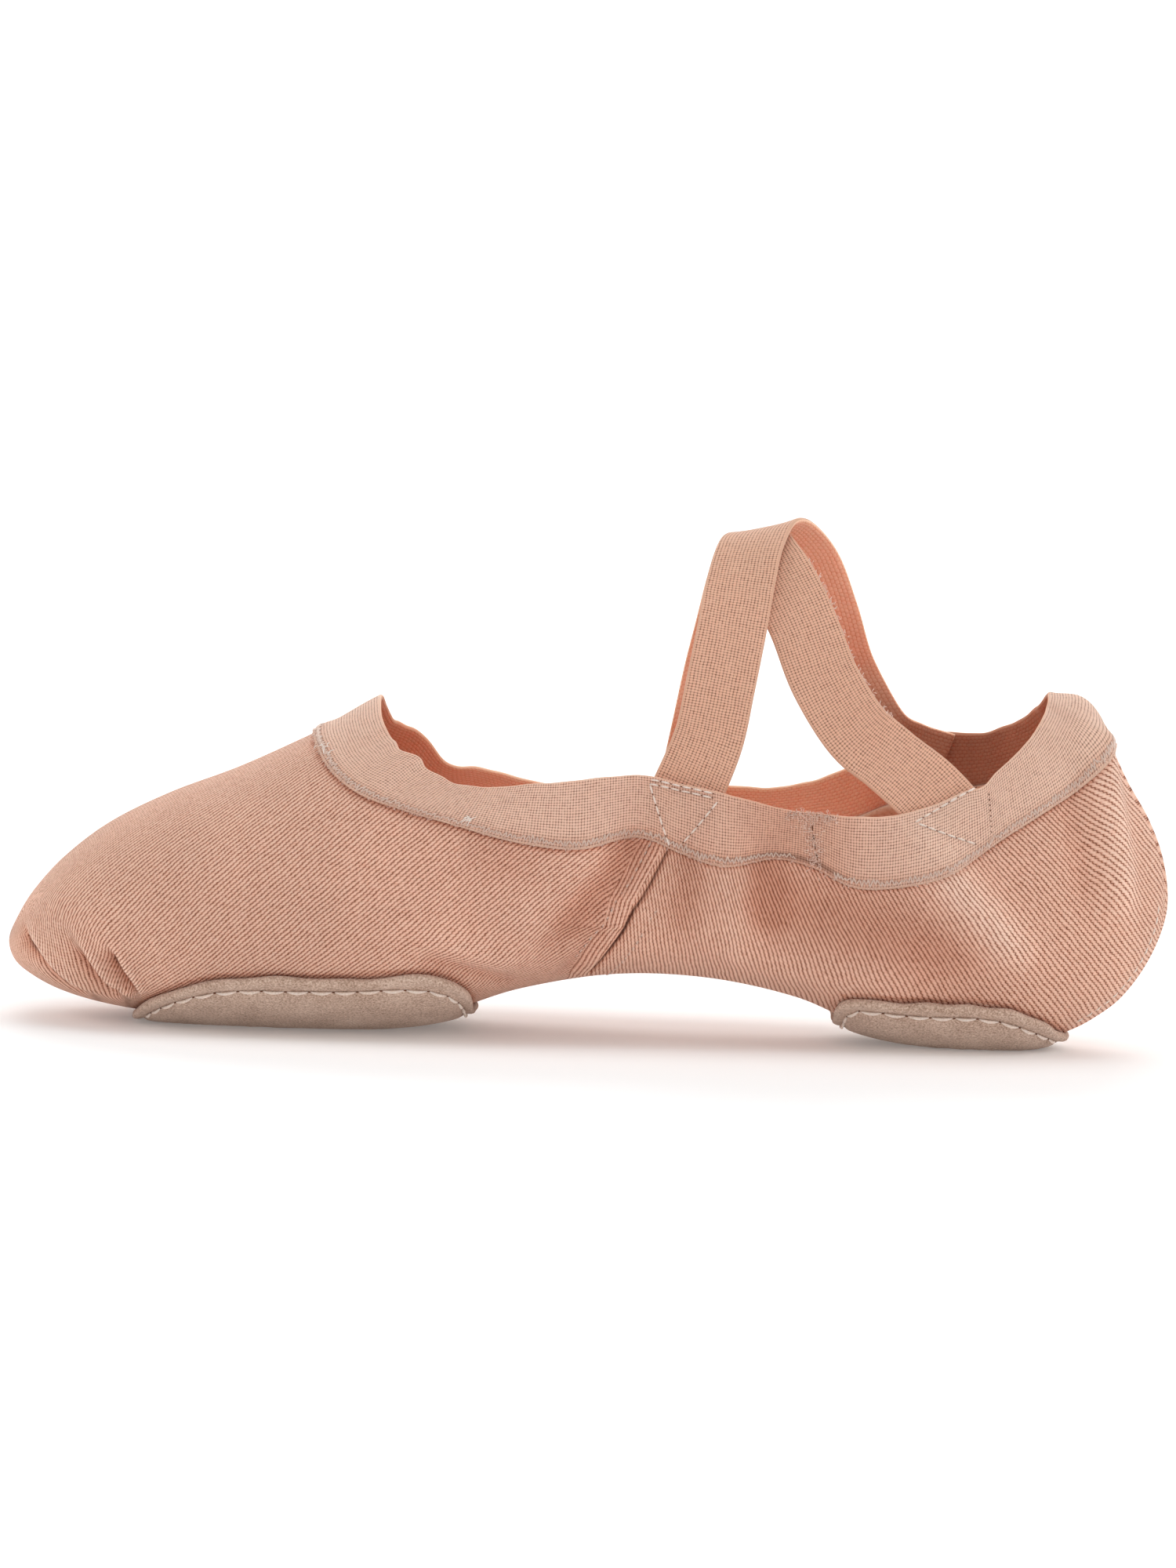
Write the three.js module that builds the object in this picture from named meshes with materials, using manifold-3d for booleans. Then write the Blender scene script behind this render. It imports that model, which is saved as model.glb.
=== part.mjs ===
// Split sole ballet slipper: a canvas sock with an elastic collar, two crossed elastic straps,
// and suede patches under the ball of the foot and the heel. Millimetres, +Z up, toe towards -X.
// It is made on a straight last, so either foot wears it. The near side is -Y.

import * as THREE from 'three';
import { mergeVertices } from 'three/addons/utils/BufferGeometryUtils.js';
import Module from 'manifold-3d';

const wasm = await Module();
wasm.setup();

// Driving sizes of the made-up pieces
const CANVAS_WALL = 1.2;
const ELASTIC_WIDTH = 15;
const STRAP_WIDTH = 14;
const ELASTIC_WALL = 1.1;
const SUEDE_WALL = 1.6;
const INSOLE_WALL = 2.0;
const GAP = 0.4;
const COLLAR_GAP = 0.5;
const COLLAR_LAP = 3;
const LASTING_MARGIN = 8;

// The canvas lies flat at this height where the suede presses it to the floor.
const CANVAS_FLOOR = SUEDE_WALL + GAP;

// Facet counts
const LOWER_STEPS = 6;
const UPPER_STEPS = 8;
const COLLAR_STEPS = 34;
const TOE_STEPS = 14;
const HEEL_STEPS = 6;
const BAND_STEPS = 4;
const STRAP_STEPS = 44;
const PATCH_SPOKES = 32;
const PATCH_RINGS = 6;

// The last, one row for each cross-section from the toe tip to the back of the heel:
// height of the bottom, of the crown and of the widest level, and half the width there.
// Behind the throat the crown is open air, and only leans the walls inwards.
const LAST_ROWS = [
  { x: -118.0, bottom: 15.0, crown: 15.0, wideAt: 15.0, halfWidth: 0.0 },
  { x: -116.6, bottom: 11.2, crown: 19.4, wideAt: 15.0, halfWidth: 10.5 },
  { x: -113.2, bottom: 8.4, crown: 25.4, wideAt: 15.5, halfWidth: 18.0 },
  { x: -107.0, bottom: 5.4, crown: 32.6, wideAt: 16.5, halfWidth: 25.0 },
  { x: -98.0, bottom: 3.0, crown: 39.8, wideAt: 18.0, halfWidth: 30.5 },
  { x: -86.0, bottom: 1.4, crown: 46.2, wideAt: 20.0, halfWidth: 34.5 },
  { x: -72.0, bottom: 1.0, crown: 52.0, wideAt: 22.0, halfWidth: 37.0 },
  { x: -57.0, bottom: 1.0, crown: 59.4, wideAt: 23.0, halfWidth: 38.0 },
  { x: -43.0, bottom: 1.4, crown: 66.6, wideAt: 23.5, halfWidth: 37.2 },
  { x: -29.0, bottom: 3.4, crown: 71.6, wideAt: 23.5, halfWidth: 35.6 },
  { x: -13.0, bottom: 9.0, crown: 76.0, wideAt: 24.0, halfWidth: 33.4 },
  { x: 6.0, bottom: 12.6, crown: 79.0, wideAt: 25.0, halfWidth: 31.0 },
  { x: 25.0, bottom: 12.4, crown: 80.0, wideAt: 26.0, halfWidth: 29.6 },
  { x: 43.0, bottom: 9.0, crown: 80.0, wideAt: 26.0, halfWidth: 28.8 },
  { x: 57.0, bottom: 3.6, crown: 80.0, wideAt: 26.0, halfWidth: 28.8 },
  { x: 71.0, bottom: 1.4, crown: 79.0, wideAt: 27.0, halfWidth: 28.6 },
  { x: 83.0, bottom: 1.0, crown: 75.6, wideAt: 28.0, halfWidth: 27.4 },
  { x: 92.0, bottom: 1.8, crown: 71.6, wideAt: 28.5, halfWidth: 25.8 },
  { x: 99.0, bottom: 4.2, crown: 70.6, wideAt: 29.0, halfWidth: 23.4 },
  { x: 104.0, bottom: 7.0, crown: 64.2, wideAt: 29.5, halfWidth: 20.8 },
  { x: 109.0, bottom: 11.0, crown: 55.0, wideAt: 30.0, halfWidth: 17.2 },
  { x: 113.4, bottom: 17.0, crown: 47.8, wideAt: 30.5, halfWidth: 12.6 },
  { x: 116.6, bottom: 24.0, crown: 40.0, wideAt: 31.0, halfWidth: 7.2 },
  { x: 118.0, bottom: 31.0, crown: 31.0, wideAt: 31.0, halfWidth: 0.0 },
];

// The collar, one row for each place along one side, from the throat to the back of the heel:
// the canvas edge where the elastic is sewn on, the elastic's top edge, and how much the far
// side stands higher, where a strap pulls it up. The end rows lie on the crown.
const COLLAR_ROWS = [
  { seamX: -57.0, seamZ: 59.4, topX: -43.0, topZ: 66.6, farLift: 0.0 },
  { seamX: -55.8, seamZ: 57.2, topX: -42.4, topZ: 63.4, farLift: 0.0 },
  { seamX: -52.0, seamZ: 52.8, topX: -40.4, topZ: 59.6, farLift: 0.0 },
  { seamX: -46.0, seamZ: 49.2, topX: -35.6, topZ: 56.6, farLift: 0.8 },
  { seamX: -37.6, seamZ: 46.8, topX: -29.6, topZ: 53.0, farLift: -2.0 },
  { seamX: -27.0, seamZ: 44.2, topX: -22.0, topZ: 51.6, farLift: -1.4 },
  { seamX: -14.0, seamZ: 41.2, topX: -12.0, topZ: 52.6, farLift: -4.4 },
  { seamX: -2.0, seamZ: 40.2, topX: -2.0, topZ: 53.8, farLift: -6.0 },
  { seamX: 9.0, seamZ: 43.2, topX: 9.0, topZ: 54.8, farLift: -5.8 },
  { seamX: 18.0, seamZ: 40.2, topX: 18.0, topZ: 53.4, farLift: -4.2 },
  { seamX: 27.0, seamZ: 37.6, topX: 27.0, topZ: 51.6, farLift: -2.6 },
  { seamX: 37.0, seamZ: 39.6, topX: 37.0, topZ: 49.4, farLift: -0.4 },
  { seamX: 45.0, seamZ: 38.0, topX: 45.0, topZ: 48.6, farLift: 1.8 },
  { seamX: 53.0, seamZ: 34.4, topX: 53.0, topZ: 48.2, farLift: 5.6 },
  { seamX: 62.0, seamZ: 34.6, topX: 62.0, topZ: 49.2, farLift: 9.0 },
  { seamX: 72.0, seamZ: 37.4, topX: 71.6, topZ: 52.6, farLift: 9.0 },
  { seamX: 83.0, seamZ: 45.0, topX: 81.0, topZ: 58.2, farLift: 4.2 },
  { seamX: 92.0, seamZ: 50.8, topX: 87.2, topZ: 63.8, farLift: 1.4 },
  { seamX: 99.0, seamZ: 55.6, topX: 90.6, topZ: 68.6, farLift: 0.4 },
  { seamX: 102.6, seamZ: 60.0, topX: 91.6, topZ: 70.8, farLift: 0.0 },
  { seamX: 104.0, seamZ: 64.2, topX: 91.8, topZ: 71.6, farLift: 0.0 },
];

// The hoop both straps lie on, over the instep: half an ellipse across the shoe, that rises
// towards the heel by a share of the distance from its middle.
const HOOP = { x: 33, foot: 62, rise: 42, halfWidth: 23, rearward: 0.24 };

// The middle line of the strap on top, from inside the near collar over the hoop to inside the
// far collar further back. Sewn rows lie against the elastic at a height, hoop rows at a turn
// in degrees round the hoop, from 0 on the near side to 180 on the far side.
const OVER_STRAP_ROWS = [
  { x: 17.8, z: 47.6, sewn: -1 },
  { x: 18.2, z: 50.0, sewn: -1 },
  { x: 19.2, z: 52.8, sewn: -1 },
  { x: 23.0, turn: 1 },
  { x: 25.0, turn: 16 },
  { x: 26.8, turn: 32 },
  { x: 28.4, turn: 50 },
  { x: 30.2, turn: 70 },
  { x: 32.8, turn: 90 },
  { x: 37.2, turn: 109 },
  { x: 42.4, turn: 128 },
  { x: 46.8, turn: 147 },
  { x: 51.0, turn: 164 },
  { x: 58.4, z: 62.8, sewn: 1 },
  { x: 65.2, z: 58.4, sewn: 1 },
  { x: 72.6, z: 56.2, sewn: 1 },
];

// The strap underneath starts inside the far collar and ends inside the near one.
const UNDER_STRAP_ROWS = [
  { x: 20.4, z: 44.6, sewn: 1 },
  { x: 20.6, z: 47.2, sewn: 1 },
  { x: 21.0, z: 50.2, sewn: 1 },
  { x: 23.0, turn: 180 },
  { x: 24.8, turn: 165 },
  { x: 26.8, turn: 149 },
  { x: 28.6, turn: 131 },
  { x: 30.2, turn: 111 },
  { x: 31.6, turn: 90 },
  { x: 33.8, turn: 68 },
  { x: 37.4, turn: 51 },
  { x: 41.6, turn: 35 },
  { x: 46.0, turn: 19 },
  { x: 52.6, turn: 5 },
  { x: 59.4, z: 60.4, sewn: -1 },
  { x: 66.6, z: 54.8, sewn: -1 },
  { x: 72.6, z: 48.8, sewn: -1 },
];

// How far the strap underneath lies inside the hoop, and a sewn strap's middle inside the last.
const STRAP_SPACING = ELASTIC_WALL + 3 * GAP;
const SEWN_DEPTH = ELASTIC_WALL / 2 + GAP;

// Suede patches in plan: middle, reach towards the toe and the heel, half width, and how square
// the front and rear ends are, as the power of the rounded outline (2 is an ellipse).
const FOREFOOT_PATCH = {
  x: -55, front: 36.8, rear: 32.3, halfWidth: 34.2, frontPower: 3.2, rearPower: 6,
};
const HEEL_PATCH = {
  x: 73, front: 21.8, rear: 25.4, halfWidth: 22.6, frontPower: 9, rearPower: 2.3,
};

// Smooth interpolation through table rows

/** Catmull-Rom curve through four values, between the second and the third. */
function throughFour(before, from, to, after, t) {
  const slope = (to - before) / 2;
  const nextSlope = (after - from) / 2;
  const a = 2 * from - 2 * to + slope + nextSlope;
  const b = -3 * from + 3 * to - 2 * slope - nextSlope;
  return ((a * t + b) * t + slope) * t + from;
}

/** A column of a table at row number u. Past the ends the rows continue as mirror says. */
function column(rows, name, u, mirror) {
  const last = rows.length - 1;
  const row = Math.min(Math.max(Math.floor(u), 0), last - 1);
  const at = (i) => {
    if (i < 0) return mirror(rows[0][name], rows[-i][name]);
    if (i > last) return mirror(rows[last][name], rows[2 * last - i][name]);
    return rows[i][name];
  };
  return throughFour(at(row - 1), at(row), at(row + 1), at(row + 2), u - row);
}

const sameBeyond = (end, inner) => inner;
const turnedBeyond = (end, inner) => 2 * end - inner;

/** The row number at which an increasing column reaches a value. */
function rowAt(rows, name, value, mirror) {
  let low = 0;
  let high = rows.length - 1;
  for (let i = 0; i < 40; i += 1) {
    const middle = (low + high) / 2;
    if (column(rows, name, middle, mirror) < value) low = middle;
    else high = middle;
  }
  return (low + high) / 2;
}

// The last as a surface

/** The cross-section at row number s. The tips are round, because x turns back past them. */
function section(s) {
  return {
    x: column(LAST_ROWS, 'x', s, sameBeyond),
    bottom: column(LAST_ROWS, 'bottom', s, turnedBeyond),
    crown: column(LAST_ROWS, 'crown', s, turnedBeyond),
    wideAt: column(LAST_ROWS, 'wideAt', s, turnedBeyond),
    halfWidth: column(LAST_ROWS, 'halfWidth', s, turnedBeyond),
  };
}

const sectionRowAt = (x) => rowAt(LAST_ROWS, 'x', x, sameBeyond);
const TIP_ROW = LAST_ROWS.length - 1;

/** A point of the last: two half ellipses meet at the widest level, and the floor flattens them. */
function lastPoint(s, angle, side) {
  const cut = section(s);
  const rise = -Math.cos(angle) * (angle < Math.PI / 2 ? cut.wideAt - cut.bottom : cut.crown - cut.wideAt);
  const y = side * cut.halfWidth * Math.sin(angle);
  return new THREE.Vector3(cut.x, y, Math.max(cut.wideAt + rise, CANVAS_FLOOR));
}

/** The outward normal, from small steps along the shoe and round the section. */
function lastNormal(s, angle, side) {
  if (s < 1e-6) return new THREE.Vector3(-1, 0, 0);
  if (s > TIP_ROW - 1e-6) return new THREE.Vector3(1, 0, 0);
  const step = 0.002;
  const along = lastPoint(s + step, angle, side).sub(lastPoint(s - step, angle, side));
  const round = lastPoint(s, angle + step, side).sub(lastPoint(s, angle - step, side));
  return along.cross(round).multiplyScalar(-side).normalize();
}

/** A point off the last, outwards by offset. Points on the middle plane stay there. */
function offLast(s, angle, side, offset) {
  const point = lastPoint(s, angle, side).addScaledVector(lastNormal(s, angle, side), offset);
  if (angle < 1e-6 || angle > Math.PI - 1e-6) point.y = 0;
  return point;
}

/** The angle at which the upper half of a section reaches a height. */
function angleAtHeight(s, z) {
  const { wideAt, crown } = section(s);
  return Math.acos(-Math.min((z - wideAt) / (crown - wideAt), 1));
}

/** The point under the foot at a place in plan, off the last by offset, never below the floor. */
function underFoot(x, y, offset) {
  const s = sectionRowAt(x);
  const angle = Math.asin(Math.min(Math.abs(y) / section(s).halfWidth, 1));
  const point = offLast(s, angle, y < 0 ? -1 : 1, offset);
  return new THREE.Vector3(point.x, point.y, Math.max(point.z, CANVAS_FLOOR - offset));
}

// The collar on the last

const collarColumn = (name, t) => column(COLLAR_ROWS, name, t, sameBeyond);
const COLLAR_END = COLLAR_ROWS.length - 1;

/** Where the elastic's lower edge, sewn to the canvas, and its top edge lie on the last, at collar row t. */
function collarAt(t, side) {
  const lift = side > 0 ? collarColumn('farLift', t) : 0;
  const place = (xName, zName) => {
    const s = sectionRowAt(collarColumn(xName, t));
    const onCrown = t < 1e-6 || t > COLLAR_END - 1e-6;
    return { s, angle: onCrown ? Math.PI : angleAtHeight(s, collarColumn(zName, t) + lift) };
  };
  return { seam: place('seamX', 'seamZ'), top: place('topX', 'topZ') };
}

/** A place on the last some share of the way across the elastic, from its lower edge. */
function acrossCollar(t, side, share) {
  const { seam, top } = collarAt(t, side);
  return {
    s: THREE.MathUtils.lerp(seam.s, top.s, share),
    angle: Math.min(THREE.MathUtils.lerp(seam.angle, top.angle, share), Math.PI),
  };
}

/** Where the canvas ends, behind the elastic. */
const canvasEdge = (t, side) => acrossCollar(t, side, COLLAR_LAP / ELASTIC_WIDTH);

/** Collar rows that lie evenly along the sewn edge. */
function evenCollarRows(count) {
  const samples = 40 * count;
  const rows = Array.from({ length: samples + 1 }, (_, i) => (COLLAR_END * i) / samples);
  const points = rows.map((t) => {
    const { seam } = collarAt(t, -1);
    return lastPoint(seam.s, seam.angle, -1);
  });
  const lengths = [0];
  for (let i = 1; i <= samples; i += 1) lengths.push(lengths[i - 1] + points[i].distanceTo(points[i - 1]));
  const total = lengths[samples];
  return Array.from({ length: count + 1 }, (_, i) => {
    const found = lengths.findIndex((length) => length >= (total * i) / count - 1e-9);
    return rows[found];
  });
}

const collarRows = evenCollarRows(COLLAR_STEPS);

// Closed solids from grids of points

/** A closed mesh from a list of four-cornered faces. Faces with no area are left out. */
function solidFromQuads(quads) {
  const corners = [];
  const addTriangle = (a, b, c) => {
    if (a.distanceTo(b) < 1e-5 || b.distanceTo(c) < 1e-5 || c.distanceTo(a) < 1e-5) return;
    corners.push(a.x, a.y, a.z, b.x, b.y, b.z, c.x, c.y, c.z);
  };
  for (const [a, b, c, d] of quads) {
    if (a.distanceTo(c) <= b.distanceTo(d)) {
      addTriangle(a, b, c);
      addTriangle(a, c, d);
    } else {
      addTriangle(a, b, d);
      addTriangle(b, c, d);
    }
  }
  const geometry = new THREE.BufferGeometry();
  geometry.setAttribute('position', new THREE.Float32BufferAttribute(corners, 3));
  return mergeVertices(geometry, 1e-4);
}

/** Faces of a grid of points, row by row, turned over where flipped. */
function gridQuads(grid, flipped = false) {
  const quads = [];
  for (let i = 0; i + 1 < grid.length; i += 1) {
    for (let j = 0; j + 1 < grid[i].length; j += 1) {
      const quad = [grid[i][j], grid[i + 1][j], grid[i + 1][j + 1], grid[i][j + 1]];
      quads.push(flipped ? quad.reverse() : quad);
    }
  }
  return quads;
}

function toManifold(geometry) {
  const vertProperties = new Float32Array(geometry.attributes.position.array);
  const triVerts = new Uint32Array(geometry.index.array);
  return new wasm.Manifold(new wasm.Mesh({ numProp: 3, vertProperties, triVerts }));
}

function fromManifold(solid) {
  const mesh = solid.getMesh();
  const geometry = new THREE.BufferGeometry();
  geometry.setAttribute('position', new THREE.Float32BufferAttribute(mesh.vertProperties, 3));
  geometry.setIndex(new THREE.Uint32BufferAttribute(mesh.triVerts, 1));
  return geometry;
}

// The canvas upper: a wall round the whole foot, open at the collar and under both patches

/** The stations of the upper, each with the angle at which its near and far walls end. */
function upperStations() {
  const closed = (s) => ({ s, near: Math.PI, far: Math.PI });
  const throat = canvasEdge(0, -1).s;
  const backEdge = canvasEdge(COLLAR_END, -1).s;
  const stations = [];
  for (let i = 0; i < TOE_STEPS; i += 1) stations.push(closed((throat * i) / TOE_STEPS));
  for (const t of collarRows) {
    const near = canvasEdge(t, -1);
    stations.push({ s: near.s, near: near.angle, far: canvasEdge(t, 1).angle, open: true });
  }
  for (let i = 1; i <= HEEL_STEPS; i += 1) {
    stations.push(closed(backEdge + ((TIP_ROW - backEdge) * i) / HEEL_STEPS));
  }
  return stations;
}

/** Angles from the sole to the end of a wall: even up to the widest level, then shared out. */
function girthAngles(end) {
  const level = Math.PI / 2;
  const lower = Array.from({ length: LOWER_STEPS }, (_, j) => (level * j) / LOWER_STEPS);
  const upper = Array.from({ length: UPPER_STEPS + 1 }, (_, j) => level + ((end - level) * j) / UPPER_STEPS);
  return [...lower, ...upper];
}

/** One half of the wall at one depth: a row of points for each station, from the sole upwards. */
function halfWall(stations, side, offset) {
  return stations.map((station) => {
    const end = side < 0 ? station.near : station.far;
    return girthAngles(end).map((angle) => offLast(station.s, angle, side, offset));
  });
}

/** A rounded outline in plan, taken in by inset. Turn 0 points to the heel, half a turn to the toe. */
function patchOutline(patch, turn, inset) {
  const along = Math.cos(turn);
  const across = Math.sin(turn);
  const power = along > 0 ? patch.rearPower : patch.frontPower;
  const reach = (along > 0 ? patch.rear : patch.front) - inset;
  const half = patch.halfWidth - inset;
  const radius = (Math.abs(along / reach) ** power + Math.abs(across / half) ** power) ** (-1 / power);
  return { x: patch.x + radius * along, y: radius * across };
}

const patchTurns = Array.from({ length: PATCH_SPOKES }, (_, i) => (2 * Math.PI * i) / PATCH_SPOKES);

/** An upright prism through the canvas, as wide as the patch without its lasting margin. */
function lastingCutter(patch) {
  const outline = patchTurns.map((turn) => {
    const { x, y } = patchOutline(patch, turn, LASTING_MARGIN);
    return new THREE.Vector2(x, y);
  });
  const from = -1;
  const to = 16;
  const settings = { depth: to - from, bevelEnabled: false };
  const prism = new THREE.ExtrudeGeometry(new THREE.Shape(outline), settings);
  prism.translate(0, 0, from);
  prism.deleteAttribute('normal');
  prism.deleteAttribute('uv');
  return toManifold(mergeVertices(prism, 1e-4));
}

/** The canvas wall: outer and inner face of both halves, the sewn rim, less the two openings below. */
function makeUpper() {
  const stations = upperStations();
  const quads = [];
  for (const side of [-1, 1]) {
    const outer = halfWall(stations, side, 0);
    const inner = halfWall(stations, side, -CANVAS_WALL);
    quads.push(...gridQuads(outer, side > 0), ...gridQuads(inner, side < 0));
    const rim = stations.map((_, i) => [outer[i].at(-1), inner[i].at(-1)]);
    quads.push(...gridQuads(rim.filter((_, i) => stations[i].open), side > 0));
  }
  const wall = toManifold(solidFromQuads(quads));
  const lasted = wall.subtract(lastingCutter(FOREFOOT_PATCH)).subtract(lastingCutter(HEEL_PATCH));
  return fromManifold(lasted);
}

// The elastic collar: one loop, lapped over the canvas edge from outside

/** One face of the elastic at one depth: a row of points for each place round the whole collar. */
function collarFace(offset) {
  const shares = Array.from({ length: BAND_STEPS + 1 }, (_, k) => k / BAND_STEPS);
  const rowOf = (t, side) => shares.map((share) => {
    const { s, angle } = acrossCollar(t, side, share);
    return offLast(s, angle, side, offset);
  });
  const near = collarRows.map((t) => rowOf(t, -1));
  const far = collarRows.map((t) => rowOf(t, 1)).reverse();
  return [...near, ...far.slice(1)];
}

/** The elastic's two faces, and the narrow edges that close it below and above. */
function makeCollar() {
  const inner = collarFace(COLLAR_GAP);
  const outer = collarFace(COLLAR_GAP + ELASTIC_WALL);
  const edge = (k) => inner.map((row, i) => [row.at(k), outer[i].at(k)]);
  return solidFromQuads([
    ...gridQuads(outer),
    ...gridQuads(inner, true),
    ...gridQuads(edge(0)),
    ...gridQuads(edge(-1), true),
  ]);
}

// The crossed straps: flat elastic swept along its middle line, twisting from collar to collar

/** A point of the hoop, and further in by depth. */
function hoopPoint(x, turn, depth) {
  const angle = THREE.MathUtils.degToRad(turn);
  const lift = HOOP.rearward * (x - HOOP.x) * Math.sin(angle);
  const y = -(HOOP.halfWidth - depth) * Math.cos(angle);
  return new THREE.Vector3(x, y, HOOP.foot + (HOOP.rise + lift - depth) * Math.sin(angle));
}

/** A strap row's middle point and outward direction, on the hoop or against the elastic. */
function strapRow(row, depth) {
  const point = new THREE.Vector3();
  const out = new THREE.Vector3();
  if (row.sewn) {
    const s = sectionRowAt(row.x);
    const angle = angleAtHeight(s, row.z);
    point.copy(offLast(s, angle, row.sewn, -SEWN_DEPTH));
    out.copy(lastNormal(s, angle, row.sewn));
  } else {
    const step = 0.1;
    point.copy(hoopPoint(row.x, row.turn, depth));
    const along = hoopPoint(row.x + step, row.turn, depth).sub(point);
    const round = hoopPoint(row.x, row.turn + step, depth).sub(point);
    out.crossVectors(along, round).normalize();
  }
  return { x: point.x, y: point.y, z: point.z, outX: out.x, outY: out.y, outZ: out.z };
}

/** A flat strap: its section is a rectangle, set square to the middle line and the outward way. */
function makeStrap(tableRows, depth) {
  const rows = tableRows.map((row) => strapRow(row, depth));
  const value = (name, u) => column(rows, name, u, turnedBeyond);
  const middle = (u) => new THREE.Vector3(value('x', u), value('y', u), value('z', u));
  const end = rows.length - 1;
  const step = 0.01;
  const corners = Array.from({ length: STRAP_STEPS + 1 }, (_, i) => {
    const u = (end * i) / STRAP_STEPS;
    const along = middle(Math.min(u + step, end)).sub(middle(Math.max(u - step, 0))).normalize();
    const out = new THREE.Vector3(value('outX', u), value('outY', u), value('outZ', u));
    const across = new THREE.Vector3().crossVectors(along, out).normalize();
    out.crossVectors(across, along).normalize();
    const corner = (w, n) => middle(u)
      .addScaledVector(across, (w * STRAP_WIDTH) / 2)
      .addScaledVector(out, (n * ELASTIC_WALL) / 2);
    return [corner(-1, -1), corner(1, -1), corner(1, 1), corner(-1, 1), corner(-1, -1)];
  });
  const cap = (ring) => ring.slice(0, 4);
  return solidFromQuads([
    ...gridQuads(corners),
    cap(corners[0]),
    cap(corners.at(-1)).reverse(),
  ]);
}

// Suede patches and insole pads: discs that follow the underside of the last

/** A disc in plan between two depths off the last, in rings from the middle of the patch. */
function makeDisc(patch, inset, outerOffset, innerOffset) {
  const face = (offset) => Array.from({ length: PATCH_RINGS + 1 }, (_, r) => {
    const share = Math.sin((Math.PI / 2) * (r / PATCH_RINGS));
    return [...patchTurns, 0].map((turn) => {
      const edge = patchOutline(patch, turn, inset);
      return underFoot(patch.x + (edge.x - patch.x) * share, edge.y * share, offset);
    });
  });
  const outer = face(outerOffset);
  const inner = face(innerOffset);
  const edge = [outer.at(-1), inner.at(-1)];
  return solidFromQuads([...gridQuads(outer, true), ...gridQuads(inner), ...gridQuads(edge, true)]);
}

const makeSole = (patch) => makeDisc(patch, 0, GAP + SUEDE_WALL, GAP);

function makeInsole(patch) {
  const under = -CANVAS_WALL - 2 * GAP;
  const inset = LASTING_MARGIN / 2;
  return makeDisc(patch, inset, under, under - INSOLE_WALL);
}

// The assembled slipper

const finish = (color, roughness) => new THREE.MeshStandardMaterial({ color, roughness, metalness: 0 });
const canvas = finish('#c99c86', 0.9);
const elastic = finish('#cfa68f', 0.8);
const suede = finish('#aa8c7b', 0.95);
const lining = finish('#c97c5e', 0.95);

const slipper = new THREE.Group();

function addPiece(name, geometry, material) {
  geometry.computeVertexNormals();
  const mesh = new THREE.Mesh(geometry, material);
  mesh.name = name;
  slipper.add(mesh);
}

addPiece('upper', makeUpper(), canvas);
addPiece('collar_elastic', makeCollar(), elastic);
addPiece('strap_over', makeStrap(OVER_STRAP_ROWS, 0), elastic);
addPiece('strap_under', makeStrap(UNDER_STRAP_ROWS, STRAP_SPACING), elastic);
addPiece('sole_forefoot', makeSole(FOREFOOT_PATCH), suede);
addPiece('sole_heel', makeSole(HEEL_PATCH), suede);
addPiece('insole_forefoot', makeInsole(FOREFOOT_PATCH), lining);
addPiece('insole_heel', makeInsole(HEEL_PATCH), lining);

export default slipper;
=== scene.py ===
# %% [markdown]
# # A split sole ballet slipper
# The slipper is a canvas sock with a woven elastic collar, two crossed elastic straps and two
# suede patches to turn on. Its solids are already made and packed. This lesson dresses them:
# every piece is worked out again as a smooth numpy surface in the same place, and gets cloth,
# creases and stitches. Sizes are in millimetres until a mesh is made, and metres in Blender.

import bmesh
import bpy
import numpy as np
from mathutils import Matrix, Vector


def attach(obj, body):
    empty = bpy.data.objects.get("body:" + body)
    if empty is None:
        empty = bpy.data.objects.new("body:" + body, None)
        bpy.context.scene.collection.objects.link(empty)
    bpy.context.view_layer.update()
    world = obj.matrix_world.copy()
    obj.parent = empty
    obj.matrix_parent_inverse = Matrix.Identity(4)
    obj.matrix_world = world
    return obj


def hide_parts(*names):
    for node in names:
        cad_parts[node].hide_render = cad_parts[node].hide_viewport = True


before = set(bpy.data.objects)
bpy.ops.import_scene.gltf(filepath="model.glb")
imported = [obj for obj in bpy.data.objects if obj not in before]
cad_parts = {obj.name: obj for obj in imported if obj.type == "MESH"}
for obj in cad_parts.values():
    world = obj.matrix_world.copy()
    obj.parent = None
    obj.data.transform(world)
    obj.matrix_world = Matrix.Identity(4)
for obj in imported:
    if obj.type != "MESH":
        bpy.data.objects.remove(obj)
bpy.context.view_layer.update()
print("solids:", sorted(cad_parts))

# %% [markdown]
# ## The camera
# The camera comes first, because every later choice is judged through it. The slipper is seen
# square from its near side, from a little above, with the picture turned so that the heel hangs
# lower. A long lens keeps the far side as large as the near side.

# %% Camera
MM = 0.001
FRAME_HEIGHT_PX = 2000
PX_PER_MM = 6.25
AIM_MM = Vector((-0.9, 0.0, 50.9))
VIEW_ELEVATION = np.radians(5.0)
VIEW_ROLL = np.radians(2.01)
VIEW_DISTANCE_MM = 1600
SENSOR_MM = 36

lens = bpy.data.cameras.new("view")
lens.sensor_width = SENSOR_MM
lens.lens = SENSOR_MM * VIEW_DISTANCE_MM * PX_PER_MM / FRAME_HEIGHT_PX
camera = bpy.data.objects.new("view", lens)
bpy.context.scene.collection.objects.link(camera)
away = Vector((0, -np.cos(VIEW_ELEVATION), np.sin(VIEW_ELEVATION)))
camera.matrix_world = (
    Matrix.Translation((AIM_MM + away * VIEW_DISTANCE_MM) * MM)
    @ Matrix.Rotation(np.pi / 2 - VIEW_ELEVATION, 4, "X")
    @ Matrix.Rotation(VIEW_ROLL, 4, "Z")
)
bpy.context.scene.camera = camera
print("lens", round(lens.lens, 1), "mm")

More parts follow.
